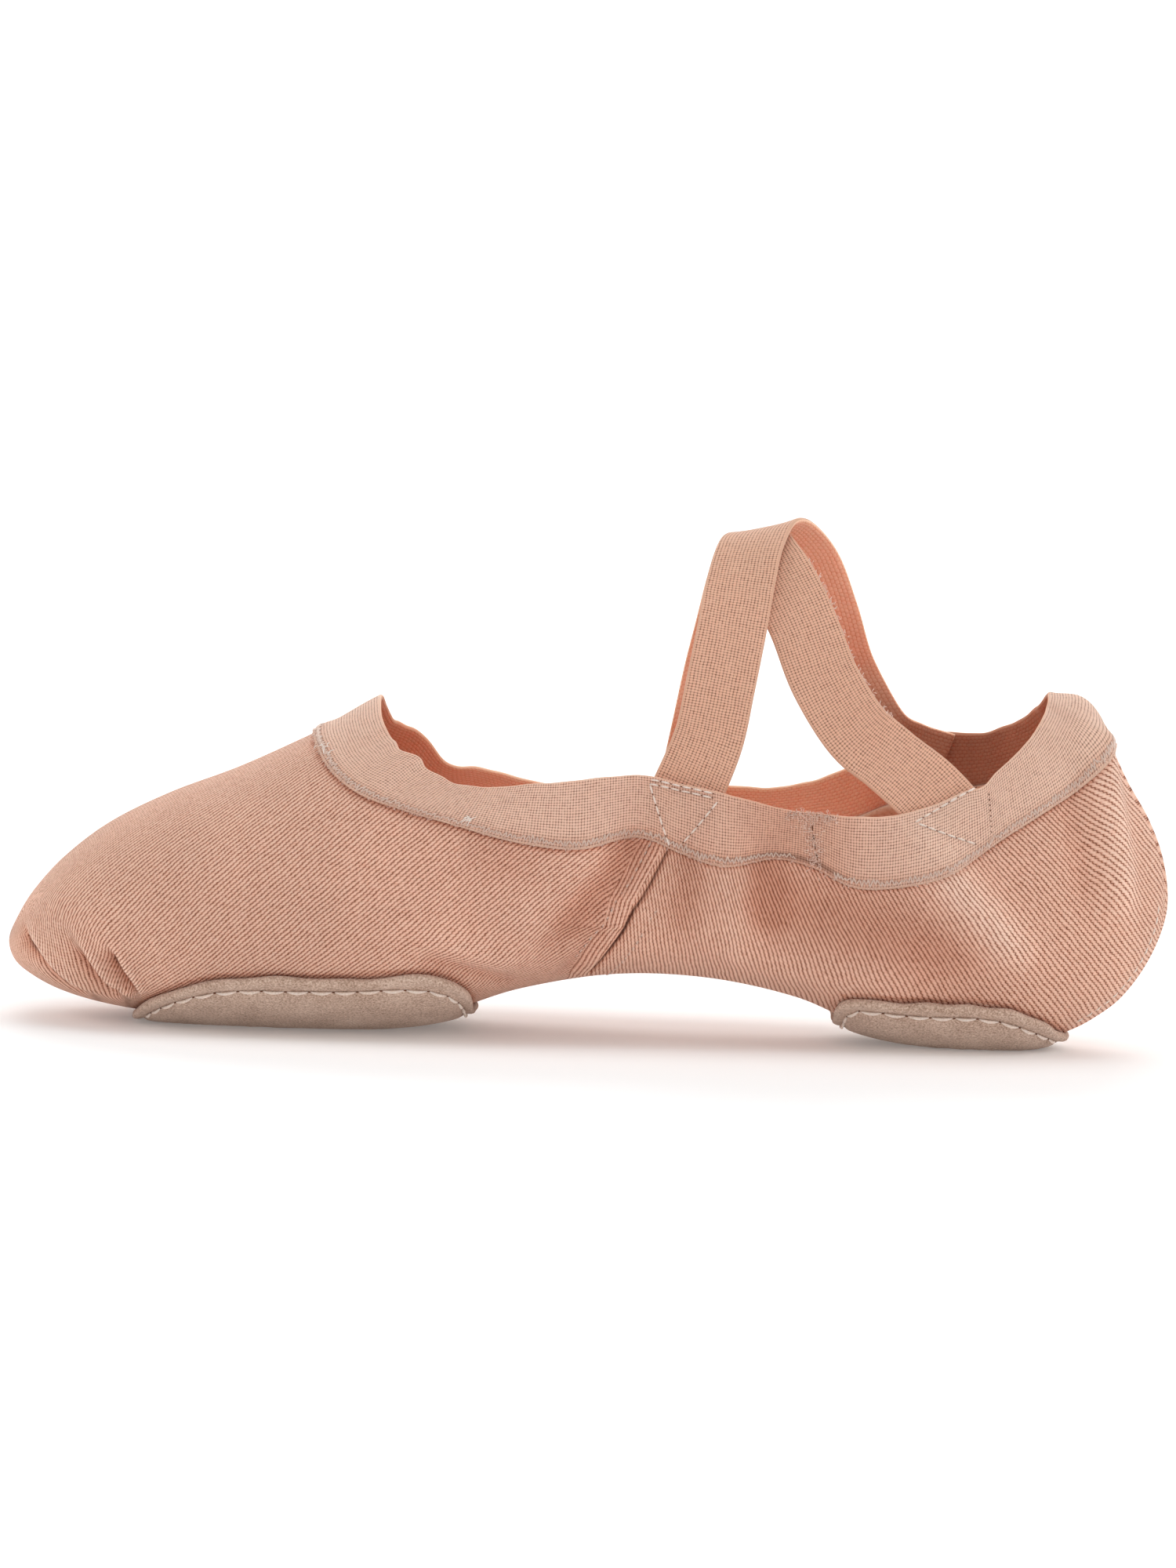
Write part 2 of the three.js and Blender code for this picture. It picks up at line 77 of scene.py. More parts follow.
# %% [markdown]
# ## The last
# A shoemaker's last is the form that a shoe is made on. A few cross-sections describe it, each
# by the height of its bottom, crown and widest level, and by half its width. A smooth curve runs
# through each column, so the last is a function of two numbers: the row number along the foot
# and the angle round the foot, from the crown on the near side, under the sole, to the crown on
# the far side. Every piece of the slipper is a region of this surface, moved outwards a little.

# %% Tables of the last and the collar
CANVAS_WALL = 1.2
ELASTIC_WIDTH = 15
STRAP_WIDTH = 14
ELASTIC_WALL = 1.1
SUEDE_WALL = 1.6
INSOLE_WALL = 2.0
GAP = 0.4
COLLAR_GAP = 0.5
COLLAR_LAP = 3
LASTING_MARGIN = 8
CANVAS_FLOOR = SUEDE_WALL + GAP

# Columns: x, height of the bottom, of the crown and of the widest level, half width
LAST_ROWS = np.array([
    (-118.0, 15.0, 15.0, 15.0, 0.0),
    (-116.6, 11.2, 19.4, 15.0, 10.5),
    (-113.2, 8.4, 25.4, 15.5, 18.0),
    (-107.0, 5.4, 32.6, 16.5, 25.0),
    (-98.0, 3.0, 39.8, 18.0, 30.5),
    (-86.0, 1.4, 46.2, 20.0, 34.5),
    (-72.0, 1.0, 52.0, 22.0, 37.0),
    (-57.0, 1.0, 59.4, 23.0, 38.0),
    (-43.0, 1.4, 66.6, 23.5, 37.2),
    (-29.0, 3.4, 71.6, 23.5, 35.6),
    (-13.0, 9.0, 76.0, 24.0, 33.4),
    (6.0, 12.6, 79.0, 25.0, 31.0),
    (25.0, 12.4, 80.0, 26.0, 29.6),
    (43.0, 9.0, 80.0, 26.0, 28.8),
    (57.0, 3.6, 80.0, 26.0, 28.8),
    (71.0, 1.4, 79.0, 27.0, 28.6),
    (83.0, 1.0, 75.6, 28.0, 27.4),
    (92.0, 1.8, 71.6, 28.5, 25.8),
    (99.0, 4.2, 70.6, 29.0, 23.4),
    (104.0, 7.0, 64.2, 29.5, 20.8),
    (109.0, 11.0, 55.0, 30.0, 17.2),
    (113.4, 17.0, 47.8, 30.5, 12.6),
    (116.6, 24.0, 40.0, 31.0, 7.2),
    (118.0, 31.0, 31.0, 31.0, 0.0),
])

# Columns: lower edge of the elastic x and z, its top edge x and z, how much higher the far side is
COLLAR_ROWS = np.array([
    (-57.0, 59.4, -43.0, 66.6, 0.0),
    (-55.8, 57.2, -42.4, 63.4, 0.0),
    (-52.0, 52.8, -40.4, 59.6, 0.0),
    (-46.0, 49.2, -35.6, 56.6, 0.8),
    (-37.6, 46.8, -29.6, 53.0, -2.0),
    (-27.0, 44.2, -22.0, 51.6, -1.4),
    (-14.0, 41.2, -12.0, 52.6, -4.4),
    (-2.0, 40.2, -2.0, 53.8, -6.0),
    (9.0, 43.2, 9.0, 54.8, -5.8),
    (18.0, 40.2, 18.0, 53.4, -4.2),
    (27.0, 37.6, 27.0, 51.6, -2.6),
    (37.0, 39.6, 37.0, 49.4, -0.4),
    (45.0, 38.0, 45.0, 48.6, 1.8),
    (53.0, 34.4, 53.0, 48.2, 5.6),
    (62.0, 34.6, 62.0, 49.2, 9.0),
    (72.0, 37.4, 71.6, 52.6, 9.0),
    (83.0, 45.0, 81.0, 58.2, 4.2),
    (92.0, 50.8, 87.2, 63.8, 1.4),
    (99.0, 55.6, 90.6, 68.6, 0.4),
    (102.6, 60.0, 91.6, 70.8, 0.0),
    (104.0, 64.2, 91.8, 71.6, 0.0),
])
NEAR, FAR = -1, 1
TIP_ROW = len(LAST_ROWS) - 1
COLLAR_END = len(COLLAR_ROWS) - 1
print(len(LAST_ROWS), "sections of the last,", len(COLLAR_ROWS), "rows of the collar")

# %% The last as a function
CROWN = np.pi - 1e-7


def through_rows(values, u, turned):
    """Catmull-Rom curve through evenly numbered values, at row numbers u.
    Past the ends the rows run on in a straight line where turned, and turn back where not."""
    first = 2 * values[0] - values[1] if turned else values[1]
    final = 2 * values[-1] - values[-2] if turned else values[-2]
    padded = np.concatenate([[first], values, [final]])
    row = np.clip(np.floor(u).astype(int), 0, len(values) - 2)
    t = u - row
    before, start, end, after = (padded[row + k] for k in range(4))
    slope, next_slope = (end - before) / 2, (after - start) / 2
    cubic = 2 * start - 2 * end + slope + next_slope
    square = -3 * start + 3 * end - 2 * slope - next_slope
    return ((cubic * t + square) * t + slope) * t + start


def table_at(table, u, turned=True):
    """Every column of a table at row numbers u, in a last axis."""
    columns = np.asarray(table, dtype=float).T
    return np.stack([through_rows(column, u, turned) for column in columns], axis=-1)


def section(s):
    """x, bottom, crown, widest level and half width of the last at row numbers s."""
    return [through_rows(LAST_ROWS[:, k], s, turned=k > 0) for k in range(5)]


ROW_SAMPLES = np.linspace(0, TIP_ROW, 6001)
X_SAMPLES = section(ROW_SAMPLES)[0]


def row_at(x):
    """The row number of the last at x."""
    return np.interp(x, X_SAMPLES, ROW_SAMPLES)


def last_point(s, girth):
    """A point of the last: two half ellipses meet at the widest level, and the floor flattens
    them. The girth angle is 0 under the sole, negative on the near side and positive on the far."""
    x, bottom, crown, wide, half = section(s)
    reach = np.where(np.abs(girth) < np.pi / 2, wide - bottom, crown - wide)
    z = np.maximum(wide - np.cos(girth) * reach, CANVAS_FLOOR)
    y = np.where(np.abs(girth) > CROWN, 0, half * np.sin(girth))
    return np.stack(np.broadcast_arrays(x, y, z), axis=-1)


def unit(vectors):
    """Vectors of length one."""
    return vectors / np.maximum(np.linalg.norm(vectors, axis=-1, keepdims=True), 1e-9)


def last_normal(s, girth):
    """The outward normal: the cross product of small steps round the section and along it."""
    step = 0.002
    along = last_point(s + step, girth) - last_point(s - step, girth)
    across = last_point(s, girth + step) - last_point(s, girth - step)
    normal = unit(np.cross(across, along))
    tip = np.where(s < 1, -1.0, 1.0)[..., None] * np.array([1.0, 0, 0])
    at_tip = np.minimum(s, TIP_ROW - s) < 1e-3
    normal = np.where(at_tip[..., None], tip, normal)
    normal[..., 1] = np.where(np.abs(girth) > CROWN, 0, normal[..., 1])
    return unit(normal)


def off_last(s, girth, lift):
    """A point moved off the last along its normal."""
    s, girth, lift = np.broadcast_arrays(s, girth, lift)
    return last_point(s, girth) + last_normal(s, girth) * lift[..., None]


def girth_at(s, z, side):
    """The girth angle at which one side of a section reaches height z."""
    _, bottom, crown, wide, _ = section(s)
    reach = np.where(z < wide, wide - bottom, crown - wide)
    return side * np.arccos(-np.clip((z - wide) / np.maximum(reach, 1e-6), -1, 1))


toe, heel = last_point(np.array([0.0, TIP_ROW]), np.zeros(2))
print("last runs from", toe.round(1), "to", heel.round(1))

# %% [markdown]
# ## Grids become meshes
# A grid of points is a mesh once its faces are numbered. Grids that close on themselves, or end
# in a pole, have points in the same place, so those are merged. A face may carry coordinates in
# millimetres along and across the cloth, which the weaves are drawn with.

# %% Mesh helpers
MERGE_M, LEAST_EDGE_M = 1e-7, 1e-8


def grid_faces(rows, columns, start=0, flip=False):
    """Four corners of every cell of a grid whose points are numbered row by row."""
    index = start + np.arange(rows * columns).reshape(rows, columns)
    corners = [index[:-1, :-1], index[:-1, 1:], index[1:, 1:], index[1:, :-1]]
    faces = np.stack(corners, axis=-1).reshape(-1, 4)
    return faces[:, ::-1] if flip else faces


def add_piece(name, points, faces, materials, weave=None, face_material=None, hollow=None, merge=True):
    """A Blender object from points in millimetres. weave has one pair for each face corner, and
    hollow one number for each point: how deep it lies in a fold, drawn as painted shade, or as painted
    highlight where negative."""
    mesh = bpy.data.meshes.new(name)
    mesh.from_pydata((points.reshape(-1, 3) * MM).tolist(), [], faces.tolist())
    if weave is not None:
        mesh.uv_layers.new(name="weave").data.foreach_set("uv", weave.astype(np.float32).ravel())
    if hollow is not None:
        mesh.attributes.new("hollow", "FLOAT", "POINT").data.foreach_set("value", hollow.astype(np.float32))
    if face_material is not None:
        mesh.polygons.foreach_set("material_index", np.asarray(face_material, dtype=np.int32))
    for material in materials:
        mesh.materials.append(material)
    if merge:
        work = bmesh.new()
        work.from_mesh(mesh)
        bmesh.ops.remove_doubles(work, verts=work.verts, dist=MERGE_M)
        bmesh.ops.dissolve_degenerate(work, edges=work.edges, dist=LEAST_EDGE_M)
        work.to_mesh(mesh)
        work.free()
    mesh.polygons.foreach_set("use_smooth", np.ones(len(mesh.polygons), dtype=bool))
    mesh.update()
    piece = bpy.data.objects.new(name, mesh)
    bpy.context.scene.collection.objects.link(piece)
    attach(piece, "root")
    mesh.calc_loop_triangles()
    print(name, len(mesh.loop_triangles), "triangles")
    return piece


# %% [markdown]
# ## Cloth, suede and thread
# The materials are all cloth or suede, so none of them shines: what tells them apart is how they
# are made. Twill has raised diagonal ribs with dark pinholes between them. Woven elastic is a
# grid of small bright floats. Suede is a nap of short fibres, and the lining is brushed cotton.
# Each one reads millimetres along and across its own cloth.

# %% Node helpers
def linear(hex_colour):
    """sRGB hex to the linear colour that shaders use."""
    channels = np.array([int(hex_colour[k:k + 2], 16) for k in (1, 3, 5)]) / 255
    low, high = channels / 12.92, ((channels + 0.055) / 1.055) ** 2.4
    return (*np.where(channels <= 0.04045, low, high), 1.0)


def add(tree, kind, links=None, stops=(), **settings):
    """Adds a shader node with its settings. A link is a node, one of its sockets or a plain value, and
    stops are the (position, hex colour) pairs of a colour ramp."""
    made = tree.nodes.new("ShaderNode" + kind)
    for name, value in settings.items():
        setattr(made, name, value)
    for key, source in (links or {}).items():
        if isinstance(source, bpy.types.Node):
            source = source.outputs[0]
        if isinstance(source, bpy.types.NodeSocket):
            tree.links.new(source, made.inputs[key])
        else:
            made.inputs[key].default_value = source
    while len(stops) > 2 and len(made.color_ramp.elements) < len(stops):
        made.color_ramp.elements.new(0.5)
    for number, (position, colour) in enumerate(stops):
        element = made.color_ramp.elements[number]
        element.position = position
        element.color = linear(colour)
    return made


def set_sockets(node, values):
    """Sets plain values on a node's own sockets."""
    for socket, value in values.items():
        node.inputs[socket].default_value = value


# %% What all cloths share
# How far red, green and blue light run inside a yarn, as shares of the greatest reach
GLOW_REACH = (1.0, 0.76, 0.64)


def new_material(name, roughness, sheen, glow=0.0, glow_mm=1.5):
    """A cloth shader: rough, with a little sheen from the fibres that stand up at grazing angles.
    Thin cloth glows where light from behind comes through its yarns, reddest where it is deepest."""
    material = bpy.data.materials.new(name)
    material.use_nodes = True
    tree = material.node_tree
    shader = tree.nodes["Principled BSDF"]
    set_sockets(shader, {
        "Roughness": roughness, "Specular IOR Level": 0.2, "Sheen Weight": sheen, "Sheen Roughness": 0.5,
        "Subsurface Weight": glow, "Subsurface Radius": GLOW_REACH, "Subsurface Scale": glow_mm * MM,
    })
    return material, tree, shader


# Painted shade: what the colour is multiplied by, from flat cloth to the deepest fold
FOLD_SHADES = [(0.0, "#ffffff"), (0.5, "#eedbd3"), (1.0, "#64443a")]
# How much paler the painted highlight makes ridges, in red, green and blue
RIDGE_HIGHLIGHT_GAIN = (0.16, 0.34, 0.44)


def in_folds(tree, colour):
    """Paints shade into a colour by the hollow attribute: in a fold light comes only from the cloth itself.
    Where it is negative the cloth stands proud, and a painted highlight makes it paler."""
    depth = add(tree, "Attribute", attribute_name="hollow").outputs["Fac"]
    deepened = add(tree, "ValToRGB", {0: depth}, FOLD_SHADES)
    folded = add(tree, "VectorMath", {0: colour, 1: deepened}, operation="MULTIPLY")
    highlight_share = add(tree, "MapRange", {0: depth, 1: -0.1, 2: -1.0})
    paler = add(tree, "VectorMath",
                {0: highlight_share, 1: RIDGE_HIGHLIGHT_GAIN, 2: (1.0, 1.0, 1.0)}, operation="MULTIPLY_ADD")
    return add(tree, "VectorMath", {0: folded, 1: paler}, operation="MULTIPLY").outputs[0]


# Noise scales count waves to the metre
FIBRE_SCALE = 1300.0


def cloth_places(tree, scale, detail, wander):
    """Millimetres along and across the cloth, the place in the slipper, and a slow noise in mm by which
    the yarns wander off their lines."""
    split = add(tree, "SeparateXYZ", {0: add(tree, "UVMap", uv_map="weave")})
    place = add(tree, "TexCoord").outputs["Object"]
    slow = add(tree, "TexNoise", {"Vector": place, "Scale": scale, "Detail": detail})
    wobble = add(tree, "Math", {0: slow, 1: 2 * wander, 2: -wander}, operation="MULTIPLY_ADD")
    return split.outputs["X"], split.outputs["Y"], place, wobble


def rectified_sine(tree, length, pitch):
    """A row of arches over a length: broad crests, and narrow grooves one pitch apart."""
    turn = add(tree, "Math", {0: length, 1: np.pi / pitch}, operation="MULTIPLY")
    wave = add(tree, "Math", {0: turn}, operation="SINE")
    return add(tree, "Math", {0: wave}, operation="ABSOLUTE")


def dress(tree, shader, colour, height, strength, depth_mm):
    """Gives the shader its colour, with painted shade in folds, and the fine relief of its yarns."""
    tree.links.new(in_folds(tree, colour), shader.inputs["Base Color"])
    bump = add(tree, "Bump", {"Height": height, "Strength": strength, "Distance": depth_mm * MM})
    tree.links.new(bump.outputs[0], shader.inputs["Normal"])


# %% Cotton twill of the upper
# Both in mm, then how sharp a rib is, how far its floats are shifted and how high a bridge stands
RIB_PITCH, FLOAT_LENGTH = 0.8, 0.75
RIB_POWER, FLOAT_SHIFT, BRIDGE_HEIGHT = 1.2, 0.37, 0.34
# Between these two places along the slipper the ribs come up to their full height
TOE_TIP_M, TOE_FULL_M = -0.1165, -0.110


def make_twill(name, pinhole, groove, body, crest):
    """Cotton twill canvas. Ribs are a rectified sine across the cloth: broad crests and narrow
    grooves. A cosine along each groove, staggered from rib to rib, bridges it, and what is left
    open between the bridges are pinholes. At the tip of the toe the ribs are pulled flatter."""
    material, tree, shader = new_material(name, roughness=0.92, sheen=0.04, glow=0.4)
    x, y, place, wobble = cloth_places(tree, scale=140.0, detail=3.0, wander=0.45)
    across = add(tree, "Math", {0: y, 1: wobble}, operation="ADD")
    ribs = add(tree, "Math", {0: across, 1: 1 / RIB_PITCH}, operation="MULTIPLY")
    rib = add(tree, "Math", {0: rectified_sine(tree, ribs, 1), 1: RIB_POWER}, operation="POWER")
    number = add(tree, "Math", {0: ribs}, operation="FLOOR")
    stagger = add(tree, "Math", {0: number, 1: FLOAT_SHIFT, 2: ribs}, operation="MULTIPLY_ADD")
    along = add(tree, "Math", {0: x, 1: 1 / FLOAT_LENGTH, 2: stagger}, operation="MULTIPLY_ADD")
    twist_turn = add(tree, "Math", {0: along, 1: 2 * np.pi}, operation="MULTIPLY")
    twist = add(tree, "Math", {0: twist_turn}, operation="COSINE")
    groove_room = add(tree, "Math",
                      {0: rib, 1: -BRIDGE_HEIGHT, 2: BRIDGE_HEIGHT}, operation="MULTIPLY_ADD")
    bridge = add(tree, "Math", {0: twist, 1: groove_room, 2: groove_room}, operation="MULTIPLY_ADD")
    yarn = add(tree, "Math", {0: rib, 1: bridge}, operation="ADD")
    fibre = add(tree, "TexNoise", {"Vector": place, "Scale": FIBRE_SCALE, "Detail": 2.0})
    fuzz = add(tree, "Math", {0: fibre, 1: 0.7, 2: -0.35}, operation="MULTIPLY_ADD")
    rough = add(tree, "Math", {0: yarn, 1: fuzz}, operation="ADD")
    toe_x = add(tree, "SeparateXYZ", {0: place}).outputs["X"]
    taut = add(tree, "MapRange", {0: toe_x, 1: TOE_TIP_M, 2: TOE_FULL_M, 3: 0.5})
    height = add(tree, "Mix", {0: taut, 2: 0.7, 3: rough})
    shades = [(0.0, pinhole), (0.3, groove), (0.62, body), (1.0, crest)]
    cloth = add(tree, "ValToRGB", {0: height}, shades)
    patchy = add(tree, "TexNoise", {"Vector": place, "Scale": 45.0, "Detail": 3.0})
    tone = add(tree, "MapRange", {0: patchy, 1: 0.3, 2: 0.7, 3: 0.95, 4: 1.05})
    shade = add(tree, "VectorMath", {0: cloth, 1: tone}, operation="MULTIPLY")
    dress(tree, shader, shade, height, strength=0.8, depth_mm=0.35)
    return material


# Twill gives fine slanting ribs and dark pinholes, which from afar are an even, dusty pink
canvas = make_twill("cotton_twill", "#4f2617", "#92573e", "#d6a088", "#ecc2ac")
print("material:", canvas.name)

# %% Woven elastic of the collar and the straps
# Width of the selvedge and of its blend in mm, then how open the gaps are and the share of the dots
SELVEDGE, SELVEDGE_BLEND, GAP_POWER, DOT_SHARE = 0.5, 0.25, 0.6, 0.25


def make_elastic(name, width, pitch, gap_colour, float_colour, edge_colour, glow=0.4, stagger=0.0):
    """Woven elastic. Two rectified sines, one along and one across the ribbon, make its floats: their
    product is dark along both sets of gaps, and their joint sum only in the dots where gaps cross.
    Its two edges are a smooth selvedge. On its reverse every second row is shifted."""
    material, tree, shader = new_material(name, roughness=0.8, sheen=0.04, glow=glow)
    x, y, place, wobble = cloth_places(tree, scale=160.0, detail=2.0, wander=0.25)
    rows = add(tree, "Math", {0: y, 1: wobble}, operation="ADD")
    row = add(tree, "Math", {0: rows, 1: 1 / pitch[1]}, operation="MULTIPLY")
    row_number = add(tree, "Math", {0: row}, operation="FLOOR")
    shift = add(tree, "Math", {0: row_number, 1: stagger * pitch[0], 2: wobble}, operation="MULTIPLY_ADD")
    columns = add(tree, "Math", {0: x, 1: shift}, operation="ADD")
    along, across = (rectified_sine(tree, moved, size) for moved, size in zip((columns, rows), pitch))
    product = add(tree, "Math", {0: along, 1: across}, operation="MULTIPLY")
    cells = add(tree, "Math", {0: product, 1: GAP_POWER}, operation="POWER")
    both = add(tree, "Math", {0: along, 1: across}, operation="ADD")
    dots = add(tree, "Math", {0: both, 1: product}, operation="SUBTRACT")
    floats = add(tree, "Mix", {0: DOT_SHARE, 2: cells, 3: dots})
    centred = add(tree, "Math", {0: y, 1: width / 2}, operation="SUBTRACT")
    from_middle = add(tree, "Math", {0: centred}, operation="ABSOLUTE")
    edge_from = width / 2 - SELVEDGE
    edge = add(tree, "MapRange", {0: from_middle, 1: edge_from, 2: edge_from + SELVEDGE_BLEND})
    fibre = add(tree, "TexNoise", {"Vector": place, "Scale": FIBRE_SCALE, "Detail": 2.0})
    fuzz = add(tree, "Math", {0: fibre, 1: 0.6, 2: floats}, operation="MULTIPLY_ADD")
    cloth = add(tree, "ValToRGB", {0: fuzz}, [(0.3, gap_colour), (1.05, float_colour)])
    colour = add(tree, "Mix", {0: edge, 6: cloth, 7: linear(edge_colour)}, data_type="RGBA")
    flat = add(tree, "Mix", {0: edge, 2: fuzz, 3: 0.9})
    dress(tree, shader, colour.outputs[2], flat, strength=0.5, depth_mm=0.3)
    return material


# Elastic gives a small even grid, paler and flatter than the canvas, with a smooth line at both edges
collar_face = make_elastic("collar_elastic", ELASTIC_WIDTH, (0.58, 0.62), "#74402c", "#ecc7b2", "#d8b49f")
# The straps are pulled longer, which opens the weave, so they are a little deeper in colour
strap_face = make_elastic("strap_elastic", STRAP_WIDTH, (0.53, 0.7), "#6c3a26", "#e7b99f", "#d2a78f")
# The reverse has long staggered floats and almost no gaps, so it is smoother, and it glows orange
elastic_back = make_elastic("elastic_reverse", ELASTIC_WIDTH, (1.0, 0.85), "#e8a484", "#f9ceb3", "#f5c9ae",
                            glow=0.6, stagger=0.5)
print("materials:", collar_face.name, strap_face.name, elastic_back.name)


# %% Suede, brushed cotton and thread
def make_nap(name, dark, body, light, grain_mm, depth_mm, sheen, glow=0.0):
    """A napped surface: fine noise for the fibres and slow noise where hands have brushed them."""
    material, tree, shader = new_material(name, roughness=0.95, sheen=sheen, glow=glow, glow_mm=3.0)
    place = add(tree, "TexCoord").outputs["Object"]
    fibre = add(tree, "TexNoise",
                {"Vector": place, "Scale": 1 / (grain_mm * MM), "Detail": 4.0, "Roughness": 0.65})
    brushed = add(tree, "TexNoise", {"Vector": place, "Scale": 130.0, "Detail": 3.0})
    mixed = add(tree, "Mix", {0: 0.2, 2: fibre, 3: brushed})
    cloth = add(tree, "ValToRGB", {0: mixed}, [(0.3, dark), (0.5, body), (0.7, light)])
    dress(tree, shader, cloth, fibre, strength=0.6, depth_mm=depth_mm)
    return material


# Suede gives a dull beige with soft light and dark flecks. Its fibres are finer than a picture can
# show, and so are those of the cotton below, so both are drawn coarser
suede = make_nap("split_suede", "#85664f", "#c8aa97", "#efd9c8", 0.42, 0.45, 0.2)
# Brushed cotton gives a warm, soft inside with no weave to see
lining = make_nap("brushed_cotton", "#cf9478", "#ecb99e", "#f5cdb7", 0.9, 0.4, 0.3, glow=0.5)
# Thread is pale and gives bright dashes, and dyed thread gives a fine relief in the cloth's own colour
thread = make_nap("cotton_thread", "#d9bba7", "#f0d8c8", "#f9e8dc", 0.3, 0.1, 0.1, glow=0.4)
dyed_thread = make_nap("dyed_thread", "#cda48f", "#eccbb8", "#f4dbcb", 0.3, 0.1, 0.1, glow=0.4)
# Loose undyed cotton gives the whitest specks, and needle holes give the dark dots between stitches: painted
# shade in the holes
loose_cotton = make_nap("loose_cotton", "#e3d6cc", "#f1e8e0", "#fbf6f1", 0.3, 0.1, 0.1)
needle_hole = make_nap("needle_hole", "#5d3a2c", "#6b4534", "#7a5140", 0.3, 0.1, 0.0)
print("materials:", [material.name for material in bpy.data.materials])

# %% [markdown]
# ## Creases
# Cloth that was lasted, worn and stored is not smooth. Each crease is a stroke drawn on the side
# of the slipper by a few points, and the cloth sinks or rises by a bell curve of its distance
# from that stroke. Simulated cloth would wrinkle too, but not in the places that the real
# slipper does, so the strokes are listed one by one.

# %% Strokes in the canvas
# Columns: depth in mm, how dark its painted shade is, the share of it that begins softly, points (x, z) of
# its sharp edge
PLEATS = [
    (1.7, 0.95, 0.2, [(-114.6, 20.6), (-113.0, 17.1), (-110.8, 14.6), (-107.8, 11.3), (-104.4, 8.6),
                      (-98.8, 5.8)]),
    (2.8, 0.85, 0.4, [(-105.4, 21.4), (-102.0, 15.9), (-100.3, 13.5), (-98.6, 11.0), (-96.5, 8.7),
                      (-92.3, 5.9)]),
    (4.0, 1.3, 0.3, [(-97.0, 18.4), (-93.9, 13.3), (-92.3, 11.1), (-91.3, 9.3), (-90.2, 7.4)]),
]
# Columns: height in mm (negative sinks), width in mm, points (x, z) on the side of the slipper
NEAR_STROKES = [
    (-1.2, 2.6, [(-31.0, 17.4), (-24.0, 15.0), (-19.0, 13.4), (-13.0, 11.2)]),
    (1.2, 3.6, [(-31.0, 21.6), (-22.0, 19.2), (-11.0, 16.6)]),
    (-0.9, 5.0, [(-21.0, 38.6), (-14.0, 36.2), (-5.0, 33.6)]),
    (1.5, 6.0, [(-1.5, 38.0), (-7.0, 32.0), (-16.0, 21.5)]),
    (-2.8, 4.6, [(8.6, 42.0), (5.5, 37.0), (1.0, 31.0), (-3.6, 25.6), (-10.0, 15.5)]),
    (-1.2, 2.6, [(2.4, 23.0), (-0.6, 18.6), (-4.6, 13.0)]),
    (-1.8, 4.0, [(20.8, 41.0), (20.2, 33.0), (18.0, 24.0)]),
    (2.0, 4.6, [(27.0, 42.0), (28.6, 30.0), (31.5, 15.0)]),
    (-1.9, 4.0, [(35.0, 43.0), (35.6, 35.0), (36.2, 24.0)]),
    (-2.2, 9.0, [(36.0, 31.0), (52.0, 27.5), (68.0, 22.5), (80.0, 17.5)]),
    (4.4, 5.0, [(66.0, 44.0), (72.4, 36.0), (79.6, 28.6), (91.0, 17.5)]),
    (1.0, 5.0, [(40.0, 17.0), (50.0, 15.5), (64.0, 15.0)]),
    (-1.2, 3.6, [(96.0, 59.0), (97.4, 50.0), (99.4, 40.0), (102.4, 26.0)]),
    (2.8, 5.0, [(102.4, 62.0), (104.2, 50.0), (106.0, 39.0), (107.6, 26.0)]),
]
FAR_STROKES = [
    (-0.9, 3.0, [(-31.0, 18.0), (-22.0, 15.6), (-15.0, 14.6)]),
    (-1.5, 5.0, [(8.0, 39.0), (0.0, 31.0), (-8.0, 21.0)]),
    (1.0, 6.0, [(-4.0, 38.0), (-10.0, 30.0)]),
    (1.0, 5.0, [(26.0, 36.0), (30.0, 27.0)]),
    (-1.2, 5.0, [(38.0, 37.0), (42.0, 29.0)]),
    (1.2, 5.0, [(62.0, 40.0), (66.0, 30.0)]),
    (-1.2, 6.0, [(74.0, 40.0), (82.0, 28.0)]),
    (0.9, 5.0, [(98.0, 50.0), (104.0, 40.0)]),
]
# Columns: x and height of the seam that joins the forepart to the heel quarter beside the arch
ARCH_SEAM = [(15.7, 40.6), (11.4, 31.9), (9.1, 28.5), (6.9, 23.8), (3.9, 19.1), (1.0, 14.8)]
print(len(PLEATS), "pleats and", len(NEAR_STROKES) + len(FAR_STROKES), "strokes")


# %% Lines on the last
def bell(distance, width):
    """A bell curve of a distance: 1 on the line, and next to nothing two widths away."""
    return np.exp(-(distance / width) ** 2)


def length_along(points, axis=0):
    """Length from the start of each line of points, which run along an axis, to each of its points."""
    steps = np.linalg.norm(np.diff(points, axis=axis), axis=-1)
    start = np.zeros_like(np.take(steps, [0], axis=axis))
    return np.concatenate([start, np.cumsum(steps, axis=axis)], axis=axis)


def on_side(path, side, steps=12):
    """Points on one side of the last along a path of (x, z) points, evenly between the corners."""
    u = np.linspace(0, len(path) - 1, steps * (len(path) - 1) + 1)
    x, z = table_at(path, u).T
    s = row_at(x)
    return s, girth_at(s, z, side)


def along_line(points, line):
    """Distance of every point to a line of points, and what share of the line lies before the nearest
    place on it."""
    nearest, before = np.full(points.shape[:-1], np.inf), np.zeros(points.shape[:-1])
    for number, (start, end) in enumerate(zip(line[:-1], line[1:])):
        span = end - start
        share = np.clip((points - start) @ span / (span @ span), 0, 1)
        distance = np.linalg.norm(points - start - share[..., None] * span, axis=-1)
        before = np.where(distance < nearest, number + share, before)
        nearest = np.minimum(nearest, distance)
    return nearest, before / (len(line) - 1)


def stroke_distance(points, line):
    """Distance of every point to a line of points."""
    return along_line(points, line)[0]


FADE_WIDTHS, FADE_FROM, FADE_POWER = 2.0, 0.7, 1.5


def fading_line(path, side, width):
    """A line on one side of the last that rises off it towards its end, so that a bell curve of the
    distance from it fades out there."""
    s, girth = on_side(path, side)
    off = np.interp(np.linspace(0, 1, len(s)), [0, FADE_FROM, 1], [0, 0, 1]) ** FADE_POWER
    return off_last(s, girth, FADE_WIDTHS * width * off)


